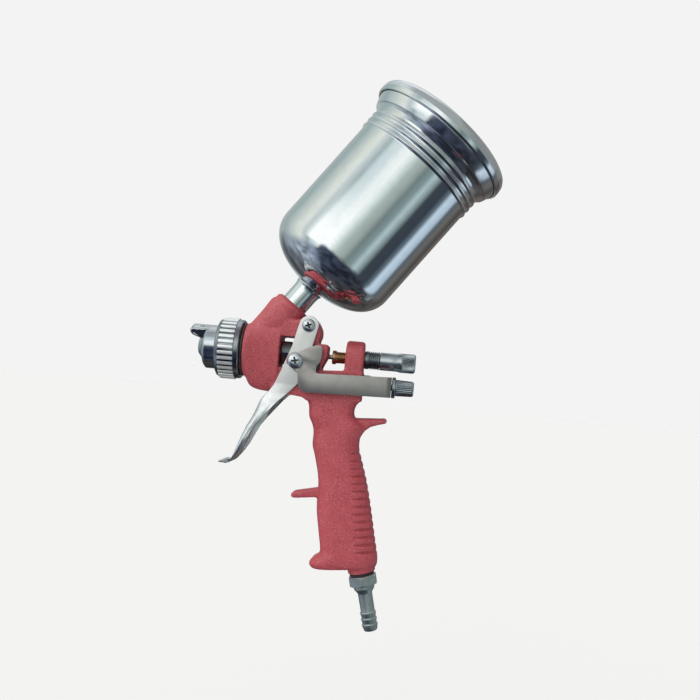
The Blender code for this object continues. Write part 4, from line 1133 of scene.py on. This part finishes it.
def make_room():
    """The soft light of the room, and what the metal reflects: bright bands, dark ground below."""
    world = bpy.data.worlds.new("studio")
    SCENE.world = world
    world.use_nodes = True
    tree = world.node_tree
    tree.nodes.clear()
    n = Nodes(tree)
    way = n.add("ShaderNodeTexCoord", output=0)

    def dot(direction):
        unit = Vector(direction).normalized()
        return n.add("ShaderNodeVectorMath", {0: way, 1: tuple(unit)}, output=1, operation='DOT_PRODUCT')

    up_cup = (math.sin(CUP_LEAN), 0, math.cos(CUP_LEAN))
    right_cup = (math.cos(CUP_LEAN), 0, -math.sin(CUP_LEAN))
    turn = n.math('ARCTAN2', dot(right_cup), dot((0, -1, 0)))
    place = n.plus(n.math('DIVIDE', turn, 2 * math.pi), 0.5)

    bands = n.ramp(place, around(
        (-176, (0.45, 0.52, 0.51)), (-146, (0.44, 0.50, 0.49)), (-126, (0.38, 0.46, 0.47)),
        (-116, (0.42, 0.52, 0.52)), (-106, (0.54, 0.62, 0.60)), (-96, (0.64, 0.70, 0.67)),
        (-86, (0.77, 0.83, 0.76)), (-76, (0.85, 0.88, 0.84)), (-68, (0.62, 0.70, 0.70)),
        (-56, (0.38, 0.48, 0.50)), (-48, (0.66, 0.78, 0.80)), (-36, (0.76, 0.86, 0.88)),
        (-26, (0.98, 1.04, 1.03)), (-16, (1.04, 1.08, 1.06)), (-7, (0.82, 0.92, 0.88)),
        (4, (0.47, 0.56, 0.54)), (16, (0.36, 0.42, 0.40)), (24, (0.19, 0.25, 0.25)),
        (35, (0.25, 0.34, 0.35)), (43, (0.50, 0.64, 0.66)), (52, (0.26, 0.34, 0.35)),
        (59, (0.05, 0.062, 0.08)), (76, (0.045, 0.06, 0.08)), (85, (0.14, 0.19, 0.23)),
        (92, (0.62, 0.76, 0.90)), (106, (0.48, 0.60, 0.72)), (113, (0.11, 0.135, 0.16)),
        (126, (0.16, 0.155, 0.15)), (143, (0.075, 0.07, 0.068)), (162, (0.16, 0.14, 0.13))))
    clutter = n.add("ShaderNodeTexNoise", {"Vector": way, "Scale": 3.2, "Detail": 3.0})
    clutter = n.minus(clutter, 0.5)
    poleward = dot(up_cup)
    side = n.ramp(place, around(
        (-170, (0.34, 0.37, 0.38)), (-135, (0.88, 0.93, 0.95)), (-105, (0.80, 0.86, 0.90)),
        (-75, (0.36, 0.39, 0.41)), (0, (0.40, 0.43, 0.44)), (60, (0.26, 0.29, 0.29)),
        (150, (0.30, 0.30, 0.31))))
    seen = n.mix(n.ramp(n.plus(poleward, n.times(clutter, 0.25)),
                        [(0.30, 0.0), (0.52, 1.0)]), bands, side)
    window = n.ramp(place, around((-66, 0.0), (-52, 1.0), (-18, 1.0), (-6, 0.0)))
    low_part = n.ramp(n.plus(poleward, 0.5), [(0.12, 0.0), (0.24, 1.0), (0.60, 1.0), (0.67, 0.0)])
    seen = n.mix(n.times(window, low_part), seen, (1.20, 1.23, 1.22))
    edge = n.ramp(place, around((-150, 0.60), (-110, 0.92), (-40, 0.92), (-18, 0.52), (55, 0.52),
                                (95, 0.66), (150, 0.56)), 'EASE')
    under = n.minus(n.times(poleward, -1.0), n.minus(edge, 0.5))
    under = n.plus(under, n.times(clutter, 0.45))
    ground = n.ramp(place, around(
        (-165, (0.06, 0.065, 0.07)), (-110, (0.24, 0.28, 0.33)), (-80, (0.36, 0.42, 0.50)),
        (-40, (0.17, 0.20, 0.27)), (-14, (0.035, 0.045, 0.075)), (60, (0.03, 0.035, 0.05)),
        (150, (0.06, 0.055, 0.055))))
    murk = n.ramp(n.plus(clutter, 0.5), [(0.40, 0.55), (0.62, 1.7)])
    ground = n.add("ShaderNodeVectorMath", {0: ground, 1: murk}, operation='MULTIPLY')
    seen = n.mix(n.ramp(under, [(0.0, 0.0), (0.30, 1.0)], 'EASE'), seen, ground)

    key = n.math('POWER', n.math('MAXIMUM', dot(KEY_DIRECTION), 0.0), KEY_FOCUS)
    fill = n.mix(key, (0.33, 0.335, 0.34), (3.65, 3.6, 3.52))

    path = tree.nodes.new("ShaderNodeLightPath")
    colour = n.mix(path.outputs["Is Glossy Ray"], fill, seen)
    colour = n.mix(path.outputs["Is Camera Ray"], colour, (BACKDROP, BACKDROP, BACKDROP))
    background = n.add("ShaderNodeBackground", {"Color": colour, "Strength": 1.0})
    out = tree.nodes.new("ShaderNodeOutputWorld")
    tree.links.new(background, out.inputs["Surface"])
    SCENE.view_settings.view_transform = 'Standard'
    SCENE.view_settings.look = 'None'


def make_camera():
    """A long view from the gun's left, turned a little so that the verticals lean as photographed."""
    data = bpy.data.cameras.new("camera")
    data.sensor_width = 36.0
    data.lens = 40.114
    data.clip_start, data.clip_end = 0.01, 50.0
    camera = bpy.data.objects.new("camera", data)
    SCENE.collection.objects.link(camera)
    right = Vector((0.99486, 0.04732, 0.08954))
    down = Vector((0.08704, 0.05243, -0.99482))
    forward = Vector((-0.05177, 0.99750, 0.04804))
    turn = Matrix((right, -down, -forward)).transposed().to_4x4()
    camera.matrix_world = shift(0.02403, -0.50573, 0.05629) @ turn
    SCENE.camera = camera


make_materials()
make_floor()
make_room()
make_camera()
make_casting()
make_ring()
make_air_cap()
make_behind_cap()
make_needle_parts()
make_valve_parts()
make_trigger()
make_stirrup()
make_screws()
make_pins()
make_springs()
make_needle_stop()
make_cup_shell()
make_cup_foot()
make_lid()
make_inlet()
